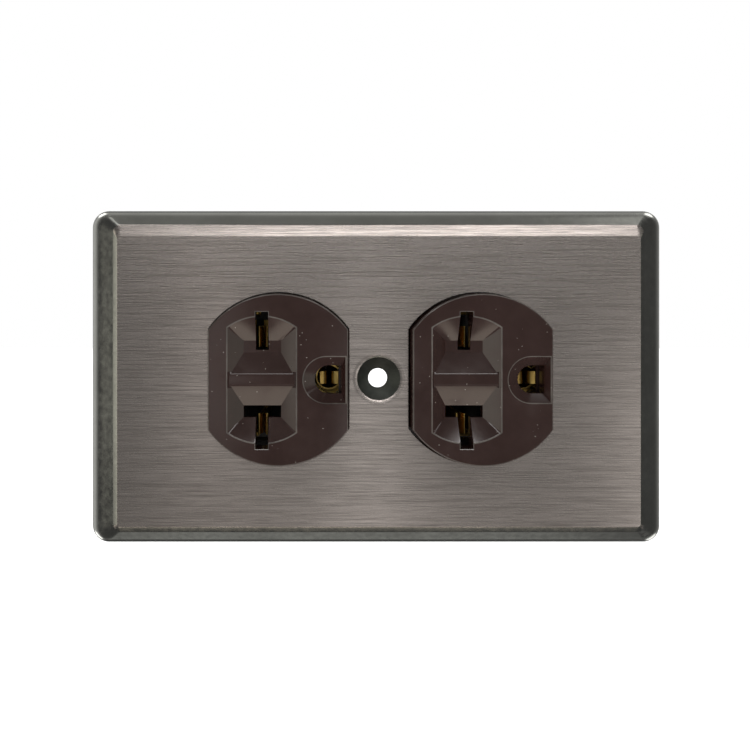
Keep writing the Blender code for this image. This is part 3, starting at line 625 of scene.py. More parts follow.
def flat(outlines, y, thickness=0.0):
    """A filled outline with holes in it, at depth y, as a face or as a sheet of some thickness."""
    curve = bpy.data.curves.new("outline", "CURVE")
    curve.dimensions = "2D"
    curve.fill_mode = "BOTH"
    curve.extrude = thickness / 2
    for outline in outlines:
        spline = curve.splines.new("POLY")
        spline.points.add(len(outline) - 1)
        for point, (x, z) in zip(spline.points, outline):
            point.co = (x, z, 0, 1)
        spline.use_cyclic_u = True
    drawn = placed("outline", curve)
    mesh = applied(drawn)
    bpy.data.objects.remove(drawn)
    bpy.data.curves.remove(curve)
    bm = bmesh.new()
    bm.from_mesh(mesh)
    bmesh.ops.remove_doubles(bm, verts=bm.verts, dist=0.001 * MM)
    upright = Matrix.Translation((0, y, 0)) @ Matrix.Rotation(math.pi / 2, 4, "X")
    bmesh.ops.transform(bm, matrix=upright, verts=bm.verts)
    return mesh_of(bm)


def sheet(outlines, front, back):
    """A flat piece with holes between the depths front and back."""
    return flat(outlines, (front + back) / 2, abs(back - front))


def evaluated(mesh, *modifiers):
    """The mesh with modifiers applied; each is (kind, settings), and a Boolean's object may be a mesh."""
    holder = placed("work", mesh)
    tools = []
    for kind, settings in modifiers:
        modifier = holder.modifiers.new(kind.lower(), kind)
        for name, value in settings.items():
            if isinstance(value, bpy.types.Mesh):
                value = placed("tool", value)
                tools.append(value)
            setattr(modifier, name, value)
    result = applied(holder)
    for used in (holder, *tools):
        bpy.data.objects.remove(used)
    return result


def boolean(mesh, operation, shapes):
    """Cuts shapes from a mesh, or joins them to it."""
    return evaluated(mesh, *[("BOOLEAN", {"operation": operation, "object": shape}) for shape in shapes])


def softened(mesh, width, degrees=25, segments=2, crease=50):
    """Rounds every edge sharper than the given angle, and shades the flats beside them as flat."""
    bm = bmesh.new()
    bm.from_mesh(mesh)
    bmesh.ops.remove_doubles(bm, verts=bm.verts, dist=0.002 * MM)
    bmesh.ops.dissolve_limit(bm, angle_limit=math.radians(0.2), verts=bm.verts, edges=bm.edges)
    bevel = {"width": width, "segments": segments, "limit_method": "ANGLE"}
    bevel["angle_limit"] = math.radians(degrees)
    smooth = evaluated(mesh_of(bm), ("BEVEL", bevel))
    smooth.shade_smooth()
    smooth.set_sharp_from_angle(angle=math.radians(crease))
    return evaluated(smooth, ("WEIGHTED_NORMAL", {"weight": 100, "keep_sharp": True}))


def joined(*meshes):
    """Several closed shapes kept as one mesh."""
    bm = bmesh.new()
    for mesh in meshes:
        bm.from_mesh(mesh)
    return mesh_of(bm, outward=False)


def ribbon(path, width_low, width_high, thickness):
    """A bent strip: a path of (x, y) points drawn between two heights in Z, given its thickness."""
    bm = bmesh.new()
    low = [bm.verts.new((x, y, width_low)) for x, y in path]
    high = [bm.verts.new((x, y, width_high)) for x, y in path]
    for index in range(len(path) - 1):
        bm.faces.new((low[index], low[index + 1], high[index + 1], high[index]))
    return evaluated(mesh_of(bm), ("SOLIDIFY", {"thickness": thickness, "offset": 0.0}))


def sprung_pair(centre_x, bend, span, thickness, rounding):
    """Two mirrored leaves that follow a bend of (distance from the middle, depth) in millimetres."""
    leaves = []
    for hand in (-1, 1):
        path = [(centre_x + hand * x * MM, y * MM) for x, y in bend]
        leaves.append(softened(ribbon(eased(path, 5), *span, thickness), rounding, degrees=40))
    return leaves


def eased(points, steps):
    """A smooth curve through points, by Catmull-Rom, with steps between each pair."""
    padded = [points[0], *points, points[-1]]
    curve = []
    for index in range(len(points) - 1):
        before, start, end, after = (Vector(padded[index + k]) for k in range(4))
        for step in range(steps):
            t = step / steps
            bend = (2 * before - 5 * start + 4 * end - after) * t * t
            twist = (3 * start - before - 3 * end + after) * t**3
            curve.append(0.5 * (2 * start + (end - before) * t + bend + twist))
    curve.append(Vector(points[-1]))
    return [tuple(point) for point in curve]


def turned(profile, steps=ROUND_STEPS):
    """A solid of revolution round Z, from a profile of (radius, distance) between its two ends' centres."""
    bm = bmesh.new()
    rings = []
    for radius, distance in profile:
        if radius <= 0:
            rings.append([bm.verts.new((0, 0, distance))])
            continue
        rings.append([bm.verts.new((x, y, distance)) for x, y in circle(0, 0, radius, steps)])
    for near, far in zip(rings, rings[1:]):
        for index in range(steps):
            follow = (index + 1) % steps
            corners = [near[k % len(near)] for k in (index, follow)]
            corners += [far[k % len(far)] for k in (follow, index)]
            bm.faces.new(list(dict.fromkeys(corners)))
    return mesh_of(bm)


def thread(radius, pitch, low, high, steps=28):
    """A helical V thread round Z between two distances, fading out at both ends."""
    depth = 0.55 * pitch
    rows = 4
    count = int((high - low) / pitch * rows) + rows
    bm = bmesh.new()
    grid = []
    for row in range(count + 1):
        loop = []
        crest = (row % rows) in (0, 1)
        for step in range(steps + 1):
            distance = low + (row / rows - 1 + step / steps) * pitch
            held = min(max(distance, low), high)
            fade = min(1.0, (held - low) / pitch, (high - held) / pitch)
            size = radius - depth + (depth * fade if crest else 0.0)
            angle = 2 * math.pi * step / steps
            loop.append(bm.verts.new((size * math.cos(angle), size * math.sin(angle), held)))
        grid.append(loop)
    for near, far in zip(grid, grid[1:]):
        for step in range(steps):
            bm.faces.new((near[step], near[step + 1], far[step + 1], far[step]))
    bmesh.ops.remove_doubles(bm, verts=bm.verts, dist=0.003 * MM)
    bmesh.ops.dissolve_degenerate(bm, edges=bm.edges, dist=0.003 * MM)
    bmesh.ops.holes_fill(bm, edges=[edge for edge in bm.edges if edge.is_boundary], sides=0)
    mesh = mesh_of(bm)
    mesh.shade_smooth()
    mesh.set_sharp_from_angle(angle=math.radians(30))
    return mesh


def show(name, mesh, material, node, degrees=30):
    """Shows a mesh in place of its CAD node, riding on the node's body."""
    piece = placed(name, mesh)
    mesh.name = name
    if material is not None:
        mesh.materials.clear()
        mesh.materials.append(material)
    if not mesh.has_custom_normals:
        mesh.shade_smooth()
        mesh.set_sharp_from_angle(angle=math.radians(degrees))
    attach(piece, frame["nodes"][node]["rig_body"])
    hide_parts(node)
    return piece


# ---------------- wall plate


def rim_rings():
    """(share of the rim's run, share of the face's edge, depth, corner radius) from the wall over the rim."""
    rim = [
        (0.0, 0.0, 3.4), (0.0, -0.9, 3.4), (0.02, -1.32, 3.3), (0.08, -1.9, 3.2), (0.2, -2.68, 3.0),
        (0.34, -3.27, 2.7), (0.5, -3.77, 2.4), (0.75, -4.47, 1.9), (0.97, -5.1, 1.5),
    ]
    rings = [(share, 0.0, depth * MM, radius * MM) for share, depth, radius in eased(rim, 3)]
    rings.append((1.0, 0.02, SHOULDER, 1.4 * MM))
    rings.append((1.0, 0.94, PLATE_FRONT + 0.026 * MM, 0.7 * MM))
    rings.append((1.0, 1.06, PLATE_FRONT, 0.6 * MM))
    return rings


def lining_rings():
    """The same for the inside of the pressed sheet, one sheet's thickness behind the outside."""
    back = PLATE_FRONT + SHEET
    return [
        (0.17, 0.0, 0.0, 2.5 * MM),
        (0.17, 0.0, -0.5 * MM, 2.5 * MM),
        (0.22, 0.0, -0.8 * MM, 2.4 * MM),
        (0.36, 0.0, -1.3 * MM, 2.3 * MM),
        (1.0, 0.15, back + 0.5 * MM, 1.2 * MM),
        (1.0, 0.6, back + 0.15 * MM, 0.9 * MM),
        (1.0, 1.0, back, 0.8 * MM),
    ]


def plate_ring(share, roll, depth, radius):
    """One rounded rectangle of the plate, whose ends roll over to the face and whose sides slope to it."""
    half_x = PLATE_HALF_LENGTH - share * END_RIM_RUN - roll * END_ROLL
    half_z = PLATE_HALF_WIDTH - share * SIDE_RIM_RUN - roll * SIDE_FACET
    ring = rectangle(half_x, half_z, radius, steps=10)
    return place([(x, z - roll * FACET_SHIFT) for x, z in ring], depth)


def dish_rings():
    """(radius, depth) of the dished screw hole: down its front, through the hole and back out behind."""
    front = PLATE_FRONT
    back = PLATE_FRONT + SHEET
    lip = PLATE_FRONT + DISH_DEPTH
    outer = DISH_RADIUS + 1.1 * MM
    down = [
        (outer, front),
        (DISH_RADIUS + 0.7 * MM, front + 0.01 * MM),
        (DISH_RADIUS + 0.3 * MM, front + 0.07 * MM),
        (DISH_RADIUS - 0.1 * MM, front + 0.19 * MM),
        (DISH_RADIUS - 0.4 * MM, front + 0.4 * MM),
        (HOLE_RADIUS + 0.9 * MM, front + 1.1 * MM),
        (HOLE_RADIUS + 0.2 * MM, lip - 0.14 * MM),
        (HOLE_RADIUS, lip),
    ]
    out = [(HOLE_RADIUS, lip + 0.6 * MM), (DISH_RADIUS - 0.3 * MM, back + 0.3 * MM), (outer, back)]
    return eased(down, 4) + out


def rim_share(point):
    """How far in from the plate's edge a point lies, as a share of the rim's run."""
    end = (PLATE_HALF_LENGTH - abs(point.x)) / END_RIM_RUN
    side = (PLATE_HALF_WIDTH - abs(point.z)) / SIDE_RIM_RUN
    return min(end, side)


def make_wall_plate():
    """The pressed sheet: outside and lining lofted from rim to face, with openings and a dished hole."""
    bm = bmesh.new()
    outside = [plate_ring(*ring) for ring in rim_rings()]
    lining = [plate_ring(*ring) for ring in lining_rings()]
    dish = [place(circle(0, 0, radius), depth) for radius, depth in dish_rings()]
    openings = [face_outline(x, OPENING_GAP) for x in OUTLETS]
    back = PLATE_FRONT + SHEET
    bands = [outside[::-1] + lining, dish]
    bands += [[place(opening, PLATE_FRONT), place(opening, back)] for opening in openings]
    for band in bands:
        bridge(bm, [[bm.verts.new(point) for point in ring] for ring in band])
    for depth, ring, hole in ((PLATE_FRONT, outside[-1], dish[0]), (back, lining[-1], dish[-1])):
        inner = [[(x, z) for x, _, z in outline] for outline in (ring, hole)]
        bm.from_mesh(flat([*inner, *openings], depth))
    bmesh.ops.remove_doubles(bm, verts=bm.verts, dist=0.004 * MM)
    mesh = softened(mesh_of(bm), 0.12 * MM, degrees=60)
    for material in (FACE_NICKEL, RIM_NICKEL, BACK_NICKEL, DISH_NICKEL):
        mesh.materials.append(material)
    for polygon in mesh.polygons:
        corners = [mesh.vertices[index].co for index in polygon.vertices]
        inset = max(rim_share(corner) for corner in corners)
        reach = max(math.hypot(corner.x, corner.z) for corner in corners)
        behind = polygon.normal.y > 0.05 or (inset > 0.2 and abs(polygon.normal.y) < 0.1)
        end = max(PLATE_HALF_LENGTH - abs(corner.x) for corner in corners)
        if behind:
            polygon.material_index = BACK_SLOT
        # Inside the dish: the darker dish nickel, painted shade
        elif reach < DISH_RADIUS - 0.05 * MM:
            polygon.material_index = DISH_SLOT
        # Down-facing facets take the darker rim nickel: painted shade along the bottom, while the top facet
        # keeps the face's nickel
        elif inset < 1.01 or end < END_RIM_RUN + 0.97 * END_ROLL or polygon.normal.z < -0.25:
            polygon.material_index = RIM_AND_SHADE_SLOT
    brush = mesh.uv_layers.new(name="brush")
    for loop in mesh.loops:
        point = mesh.vertices[loop.vertex_index].co
        brush.data[loop.index].uv = (point.z * BRUSH_REPEATS + 0.5, point.x * BRUSH_REPEATS + 0.5)
    return show("wall_plate_skin", mesh, None, "wall_plate", degrees=32)


# ---------------- receptacle front


def outlet_cutters(centre_x):
    """Everything that is cut into one outlet face from the front."""
    shapes = []
    front = FACE_FRONT
    slot_x = centre_x + BLADE_X
    rim_x = FUNNEL_HALF_WIDTH
    reach = rim_x - RIDGE_INSET
    top = front + 0.1 * MM
    foot = front + RIDGE_DROP + (RIDGE_CUT - RIDGE_FLAT) * RIDGE_SLOPE
    wedge = [(RIDGE_FLAT - 0.4 * MM, top), (RIDGE_FLAT, front + RIDGE_DROP)]
    wedge += [(RIDGE_CUT, foot), (RIDGE_CUT, top)]
    for side in (1, -1):
        shapes.append(sunk(*funnel_outlines(centre_x, side), FUNNEL_DEPTH, MOUTH_ROUND, MOUTH_ROUND_DEPTH))
        shapes.append(hull([(slot_x + x, y, side * z) for x in (-reach, reach) for z, y in wedge]))
    ridge = []
    for x, y in ((rim_x, front - 0.02 * MM), (rim_x - 0.4 * MM, front + RIDGE_DROP)):
        ridge += [(slot_x + sign * x, y, z) for sign in (-1, 1) for z in (-RIDGE_CUT, RIDGE_CUT)]
    shapes.append(hull(ridge))
    left, right = slot_x - SLOT_WIDTH / 2, slot_x + SLOT_WIDTH / 2
    bar_left, bar_right = slot_x - T_BAR_HALF_LENGTH, slot_x + T_BAR_HALF_LENGTH
    back = front + FACE_WALL + PAST
    shapes.append(block((left, front - PAST, SLOT_INNER), (right, back, SLOT_OUTER)))
    t_corners = [
        (bar_left, -T_BAR_INNER), (bar_left, -T_BAR_OUTER), (left, -T_BAR_OUTER), (left, -T_STEM_END),
        (right, -T_STEM_END), (right, -T_BAR_OUTER), (bar_right, -T_BAR_OUTER), (bar_right, -T_BAR_INNER),
    ]
    shapes.append(sheet([t_corners], front - PAST, back))
    for start, end in ((SLOT_INNER * 2, SLOT_OUTER), (-SLOT_INNER * 2, -T_STEM_END)):
        slot_end = [(left, start), (right, start), (right, end), (left, end)]
        above, below = eased_mouth(slot_end, MOUTH_ROUND, SLOT_END_DEPTH)
        shapes.append(hull(above + below))
    mouth, floor = [shifted(ground_outline(size), centre_x) for size in (GROUND_OUTER, GROUND_INNER)]
    shapes.append(sunk(mouth, floor, GROUND_FUNNEL_DEPTH, GROUND_ROUND, GROUND_ROUND))
    shapes.append(sheet([floor], front - PAST, back))
    return shapes


def make_face_cover():
    """Front moulding: two outlet faces standing on one flange, hollow behind and grooved for the strap."""
    cover = sheet([rectangle(BODY_HALF_LENGTH, BODY_HALF_WIDTH, COVER_CORNER)], FLANGE_FRONT, 0)
    faces = []
    for x in OUTLETS:
        points = place(face_outline(x), FLANGE_FRONT / 2)
        for angle in [math.radians(15 * step) for step in range(7)]:
            inset = EDGE_ROUND * (1 - math.cos(angle))
            points += place(face_outline(x, -inset), FACE_FRONT + EDGE_ROUND * (1 - math.sin(angle)))
        faces.append(hull(points))
    cover = boolean(cover, "UNION", faces)
    shapes = []
    for centre_x in OUTLETS:
        shapes.append(sheet([face_outline(centre_x, -1.6 * MM)], FACE_FRONT + FACE_WALL, PAST))
        shapes += outlet_cutters(centre_x)
    groove = (BODY_HALF_LENGTH + PAST, PAST, STRAP_HALF_WIDTH + GAP)
    shapes.append(block((-groove[0], -STRAP_THICKNESS - GAP, -groove[2]), groove))
    shapes.append(rod((0, FLANGE_FRONT - PAST, 0), (0, 1, 0), 5 * MM, PASSAGE_FRONT_RADIUS))
    for x, z in ASSEMBLY_SPOTS:
        shapes.append(rod((x, PAST, z), (0, -1, 0), PAST + 2.0 * MM, ASSEMBLY_RADIUS + GAP, steps=24))
    cover = boolean(cover, "DIFFERENCE", shapes)
    mesh = softened(cover, 0.05 * MM, degrees=50, segments=1, crease=18)
    for material in (BROWN, BROWN_PAINTED_HIGHLIGHT):
        mesh.materials.append(material)
    # Slanted rounds just behind the outlet faces take the lighter brown, a painted highlight along the edges
    for polygon in mesh.polygons:
        near_front = polygon.center.y < FACE_FRONT + 1.2 * GROUND_ROUND
        if near_front and -0.99 < polygon.normal.y < -0.2:
            polygon.material_index = EDGE_SLOT
    return show("face_cover_moulding", mesh, None, "face_cover")


# ---------------- body, strap and contacts


def make_base_body():
    """Rear moulding: terminal recesses, contact chambers, wire holes, screw passage; black bars stand in for
    shade.
    """
    body = sheet([rectangle(BODY_HALF_LENGTH, BODY_HALF_WIDTH, COVER_CORNER)], GAP, BODY_BACK)
    through = BODY_BACK + 2 * PAST
    shapes = []
    for side in (1, -1):
        recess_end = (RECESS_HALF_LENGTH, RECESS_Y[1], side * (BODY_HALF_WIDTH + PAST))
        shapes.append(block((-RECESS_HALF_LENGTH, RECESS_Y[0], side * RECESS_Z), recess_end))
        half = CHAMBER_HALF_WIDTH[side]
        for x in SLOT_XS:
            chamber_end = (x + half, CHAMBER_FLOOR, side * (RECESS_Z + PAST))
            shapes.append(block((x - half, -PAST, side * CHAMBER_START), chamber_end))
        for x in (-TERMINAL_X, TERMINAL_X):
            start = (x, TERMINAL_Y, side * (RECESS_Z + PAST))
            reach = SCREW_REACH + PAST - 0.4 * MM
            shapes.append(rod(start, (0, 0, -side), reach, SCREW_RADIUS + GAP, steps=32))
            for spread in (-WIRE_HOLE_SPREAD, WIRE_HOLE_SPREAD):
                entry = (x + spread, RECESS_Y[1] - PAST, side * WIRE_HOLE_Z)
                shapes.append(rod(entry, (0, 1, 0), through - RECESS_Y[1], WIRE_HOLE_RADIUS, steps=24))
    for centre_x in OUTLETS:
        ground = centre_x + GROUND_X
        end = ground + GROUND_ROOM
        foot_start = (ground - RIVET_OFFSET - 3.2 * MM, -PAST, -GROUND_ROOM)
        shapes.append(block(foot_start, (end, 2.2 * MM, GROUND_ROOM)))
        leaves_start = (ground - GROUND_ROOM, 2.0 * MM, -LEAF_ROOM)
        shapes.append(block(leaves_start, (end, GROUND_FLOOR, LEAF_ROOM)))
    passage = PASSAGE_FRONT_RADIUS - 0.1 * MM
    shapes.append(rod((0, -PAST, 0), (0, 1, 0), through, passage, PASSAGE_BACK_RADIUS))
    sunk_by = ASSEMBLY_HEAD[1] + 0.4 * MM
    for x, z in ASSEMBLY_SPOTS:
        shapes.append(rod((x, -PAST, z), (0, 1, 0), through, ASSEMBLY_RADIUS + GAP, steps=24))
        head_start = (x, BODY_BACK - sunk_by, z)
        shapes.append(rod(head_start, (0, 1, 0), sunk_by + PAST, ASSEMBLY_HEAD[0] + GAP, steps=32))
    tab_room = (-BODY_HALF_LENGTH - PAST, TAB_Y, TAB_Z)
    shapes.append(rod(tab_room, (1, 0, 0), PAST + 4.0 * MM, SCREW_RADIUS + 0.6 * MM, steps=32))
    body = boolean(body, "DIFFERENCE", shapes)
    # Black bars behind each slot's outer end, standing in for shade: they hide the lit rail and arm seen
    # through the slot
    shade_rib_sizes = ((SHADE_RIB_HALF_LENGTH, RECESS_Z + 0.1 * MM), (SLOT_WIDTH / 2 + 0.1 * MM, RAIL_Z + 0.9 * MM))
    shade_ribs = []
    for side in (1, -1):
        for x in SLOT_XS:
            for half, end in shade_rib_sizes:
                shade_ribs.append(block((x - half, SHADE_RIB_Y[0], side * SHADE_RIB_START), (x + half, SHADE_RIB_Y[1], side * end)))
    body = boolean(body, "UNION", shade_ribs)
    mesh = softened(body, 0.3 * MM, degrees=28, segments=3)
    return show("base_body_moulding", mesh, BLACK, "base_body", degrees=40)


def make_strap():
    """Plated steel strap with wide ears and a ground tab folded back."""
    corners = []
    for turn in (1, -1):
        ear = [
            (EAR_START, -STRAP_HALF_WIDTH, 1.0 * MM),
            (EAR_START, -EAR_HALF_WIDTH, 2.0 * MM),
            (STRAP_HALF_LENGTH, -EAR_HALF_WIDTH, 4.0 * MM),
            (STRAP_HALF_LENGTH, EAR_HALF_WIDTH, 4.0 * MM),
            (EAR_START, EAR_HALF_WIDTH, 2.0 * MM),
            (EAR_START, STRAP_HALF_WIDTH, 1.0 * MM),
        ]
        corners += [(turn * x, turn * z, radius) for x, z, radius in ear]
    outlines = [filleted(corners, steps=10), circle(0, 0, STRAP_CENTRE_HOLE)]
    for x in (-BOX_SCREW_X, BOX_SCREW_X):
        slot = rectangle(BOX_SLOT_HALF_LENGTH, BOX_SLOT_HALF_WIDTH, BOX_SLOT_HALF_WIDTH * 0.999)
        outlines.append(shifted(slot, x))
    for centre_x in OUTLETS:
        ground = centre_x + GROUND_X
        outlines.append(circle(ground, 0, STRAP_GROUND_HOLE))
        outlines.append(circle(ground - RIVET_OFFSET, 0, RIVET_RADIUS + GAP, 32))
    strap = sheet(outlines, -STRAP_THICKNESS, 0)
    tab_low = (TAB_X - TAB_THICKNESS, -STRAP_THICKNESS / 2, TAB_Z - TAB_HALF_WIDTH)
    tab_high = (TAB_X, TAB_Y + TAB_REACH, TAB_Z + TAB_HALF_WIDTH)
    strap = boolean(strap, "UNION", [block(tab_low, tab_high)])
    cuts = [rod((TAB_X + PAST, TAB_Y, TAB_Z), (-1, 0, 0), 4 * PAST, SCREW_RADIUS + GAP, steps=32)]
    for hand in (-1, 1):
        near, far = hand * (EAR_START - PAST), hand * (STRAP_HALF_LENGTH + PAST)
        for z in (-SCORE_Z, SCORE_Z):
            for depth in (-STRAP_THICKNESS, 0.0):
                cuts.append(block((near, depth - SCORE, z - SCORE), (far, depth + SCORE, z + SCORE)))
    mesh = softened(boolean(strap, "DIFFERENCE", cuts), 0.14 * MM, degrees=30)
    return show("mounting_strap_plated", mesh, ZINC, "mounting_strap")


def make_line_contact(side_name, side):
    """Brass rail with its break-off link, and for each outlet an arm with two sprung leaves."""
    low_y, high_y = RAIL_Y
    left, right = -OUTLET_X - 6.0 * MM, OUTLET_X + 2.0 * MM
    link_low, link_high = LINK_Y
    notch = LINK_HALF_LENGTH
    open_y = CONTACT_ARM_Y - 1.0 * MM
    half = SLOT_WIDTH / 2 + GAP
    slots = [[(x - half, low_y), (x - half, open_y), (x + half, open_y), (x + half, low_y)] for x in SLOT_XS]
    outline = [
        (left, low_y), *slots[0], (-notch, low_y), (-notch, link_low), (notch, link_low), (notch, low_y),
        *slots[1], (right, low_y), (right, high_y), (notch, high_y), (notch, link_high), (-notch, link_high),
        (-notch, high_y), (left, high_y),
    ]
    holes = [circle(x, TERMINAL_Y, SCREW_RADIUS + GAP, 32) for x in (-TERMINAL_X, TERMINAL_X)]
    z = sorted((side * RAIL_Z, side * (RAIL_Z + CONTACT_SHEET)))
    rail = sheet([outline, *holes], -z[1], -z[0])
    rail.transform(Matrix.Rotation(-math.pi / 2, 4, "X"))
    pieces = [softened(rail, 0.12 * MM, degrees=30)]
    near, far = LEAF_SPAN[side]
    for x in SLOT_XS:
        arm_start = (x - ARM_HALF_WIDTH, CONTACT_ARM_Y, side * near)
        arm_end = (x + ARM_HALF_WIDTH, CONTACT_ARM_Y + CONTACT_SHEET, side * (RAIL_Z + CONTACT_SHEET / 2))
        pieces.append(softened(block(arm_start, arm_end), 0.1 * MM))
        pieces += sprung_pair(x, BLADE_LEAF, sorted((side * near, side * far)), 0.35 * MM, 0.08 * MM)
    name = f"line_contact_{side_name}"
    return show(f"{name}_strip", joined(*pieces), BRASS, name)


def make_ground_contact(end_name, centre_x):
    """Brass foot under the strap with a round mouth, and two leaves that curve in behind it."""
    ground = centre_x + GROUND_X
    half, corner = 3.6 * MM, 0.8 * MM
    near, far = ground + half, ground - RIVET_OFFSET - 2.8 * MM
    foot_corners = [(near, -half, corner), (near, half, corner), (far, half, corner), (far, -half, corner)]
    holes = [circle(ground, 0, 2.6 * MM, 48), circle(ground - RIVET_OFFSET, 0, RIVET_RADIUS + GAP, 24)]
    foot = sheet([filleted(foot_corners, steps=6), *holes], GAP, GAP + CONTACT_SHEET)
    pieces = [softened(foot, 0.12 * MM, degrees=30)]
    leaves = sprung_pair(ground, GROUND_LEAF, (-2.2 * MM, 2.2 * MM), 0.4 * MM, 0.1 * MM)
    mouths = sprung_pair(ground + EYELET_SHIFT, GROUND_FLARE, (-1.3 * MM, 1.3 * MM), 0.3 * MM, 0.08 * MM)
    pieces += [leaves[0], mouths[0], leaves[1], mouths[1]]
    radii = (EYELET_RADIUS + EYELET_WALL, EYELET_RADIUS)
    rings = [circle(ground + EYELET_SHIFT, 0, radius) for radius in radii]
    pieces.append(softened(sheet(rings, EYELET_FRONT, GAP + 0.4 * MM), 0.08 * MM, degrees=40))
    name = f"ground_contact_{end_name}"
    return show(f"{name}_strip", joined(*pieces), BRASS, name)


# ---------------- fasteners


def fastener(start, axis, head, crown, shank, pitch, slot):
    """A slotted screw with turned head, helical thread and driver slot. start is the top of its head."""
    (head_radius, head_height), (radius, reach), (slot_width, slot_depth) = head, shank, slot
    core = radius - 0.5 * pitch
    under = -head_height
    tip = -head_height - reach
    profile = [(0.0, tip), (core * 0.7, tip), (core, tip + 0.5 * MM), (core, under)]
    profile += [(head_radius - 0.15 * MM, under), (head_radius, under + 0.15 * MM)]
    profile.append((head_radius, -crown - 0.25 * MM))
    for angle in DOME_ANGLES:
        profile.append((head_radius * (0.12 + 0.88 * math.cos(angle)), crown * (math.sin(angle) - 1)))
    profile.append((0.0, 0.0))
    body = turned(profile)
    slot = block((-2 * head_radius, -slot_width / 2, -slot_depth), (2 * head_radius, slot_width / 2, PAST))
    body = softened(boolean(body, "DIFFERENCE", [slot]), 0.09 * MM, degrees=35)
    winding = thread(radius, pitch, tip + 0.3 * MM, under - 0.1 * MM)
    mesh = joined(body, winding)
    mesh.transform(aimed(start, axis))
    return mesh


def make_terminal(tag, x, side):
    """A ridged clamp plate and its binding screw."""
    inner = RAIL_Z + CONTACT_SHEET + GAP
    outer = inner + CLAMP_THICKNESS
    half = CLAMP_SIZE / 2
    plate = block((x - half, TERMINAL_Y - half, side * inner), (x + half, TERMINAL_Y + half, side * outer))
    hole_start = (x, TERMINAL_Y, side * (inner - PAST))
    cuts = [rod(hole_start, (0, 0, side), 3 * PAST, SCREW_RADIUS + GAP, steps=32)]
    for offset in (-3.4, -2.7, 2.7, 3.4):
        y = TERMINAL_Y + offset * MM
        groove = []
        for end_x in (x - half - PAST, x + half + PAST):
            groove += [(end_x, y + dy, side * (inner + dz)) for dy, dz in RIDGE_GROOVE]
        cuts.append(hull(groove))
    mesh = softened(boolean(plate, "DIFFERENCE", cuts), 0.16 * MM, degrees=40)
    show(f"clamp_{tag}_ridged", mesh, ZINC, f"clamp_plate_{tag}")
    top = outer + GAP + SCREW_HEAD[1]
    reach = top - SCREW_HEAD[1] - (RECESS_Z - SCREW_REACH + 0.8 * MM)
    start, shank = (x, TERMINAL_Y, side * top), (SCREW_RADIUS, reach)
    mesh = fastener(start, (0, 0, side), SCREW_HEAD, 0.5 * MM, shank, SCREW_PITCH, DRIVER_SLOT)
    return show(f"terminal_{tag}_threaded", mesh, BRASS, f"terminal_screw_{tag}")


def make_ground_terminal():
    """Green screw and clamp on the strap's ground tab."""
    high_x = TAB_X - TAB_THICKNESS - GAP
    low_x = high_x - CLAMP_THICKNESS
    half = GROUND_CLAMP_SIZE / 2
    clamp = block((low_x, TAB_Y - half, TAB_Z - half), (high_x, TAB_Y + half, TAB_Z + half))
    hole = rod((high_x + PAST, TAB_Y, TAB_Z), (-1, 0, 0), 3 * PAST, SCREW_RADIUS + GAP, steps=32)
    mesh = softened(boolean(clamp, "DIFFERENCE", [hole]), 0.2 * MM, degrees=40)
    show("ground_clamp_pressed", mesh, ZINC, "ground_clamp")
    top = low_x - GAP - SCREW_HEAD[1]
    start, shank = (top, TAB_Y, TAB_Z), (SCREW_RADIUS, 5.6 * MM)
    mesh = fastener(start, (-1, 0, 0), SCREW_HEAD, 0.4 * MM, shank, SCREW_PITCH, DRIVER_SLOT)
    return show("ground_screw_threaded", mesh, GREEN, "ground_screw")


def make_box_fastener(end_name, x):
    """Long screw through an ear's slot, kept there by a fibre washer."""
    start = (x, -STRAP_THICKNESS - GAP - BOX_SCREW_HEAD[1], 0)
    shank = (BOX_SCREW_RADIUS, BOX_SCREW_END + STRAP_THICKNESS + GAP)
    mesh = fastener(start, (0, -1, 0), BOX_SCREW_HEAD, 0.9 * MM, shank, SCREW_PITCH, (0.9 * MM, 1.2 * MM))
    show(f"mounting_{end_name}_threaded", mesh, ZINC, f"mounting_screw_{end_name}")
    square = rectangle(WASHER_HALF_SIZE, WASHER_HALF_SIZE, 0.8 * MM, steps=5)
    outlines = [shifted(outline, x) for outline in (square, circle(0, 0, BOX_SCREW_RADIUS + GAP))]
    washer = sheet(outlines, GAP, GAP + WASHER_THICKNESS)
    mesh = softened(washer, 0.12 * MM, degrees=30)
    return show(f"washer_{end_name}_fibre", mesh, FIBRE, f"retaining_washer_{end_name}")


def make_assembly_screw(tag, x, z):
    """Screw from the back of the body into the cover's flange."""
    top = BODY_BACK - 0.1 * MM
    shank = (ASSEMBLY_RADIUS, top - ASSEMBLY_HEAD[1] + 1.6 * MM)
    slot = (0.6 * MM, 0.7 * MM)
    mesh = fastener((x, top, z), (0, 1, 0), ASSEMBLY_HEAD, 0.3 * MM, shank, ASSEMBLY_PITCH, slot)
    return show(f"assembly_{tag}_threaded", mesh, ZINC, f"assembly_screw_{tag}")


def make_rivet(end_name, x):
    """Rivet through strap and ground contact, domed in front and upset flat behind."""
    front = STRAP_THICKNESS + GAP
    back = 2 * GAP + CONTACT_SHEET
    head = RIVET_HEAD_RADIUS
    profile = [(0.0, -back - 0.5 * MM), (head * 0.6, -back - 0.45 * MM), (head * 0.85, -back - 0.2 * MM)]
    profile += [(head * 0.9, -back), (RIVET_RADIUS, -back), (RIVET_RADIUS, front), (head, front)]
    for angle in [math.pi / 2 * step / 6 for step in range(1, 6)]:
        profile.append((head * math.cos(angle), front + RIVET_HEAD_HEIGHT * math.sin(angle)))
    profile.append((0.0, front + RIVET_HEAD_HEIGHT))
    mesh = turned(profile, steps=40)
    mesh.transform(aimed((x, 0, 0), (0, -1, 0)))
    return show(f"rivet_{end_name}_domed", mesh, BRASS, f"ground_rivet_{end_name}")


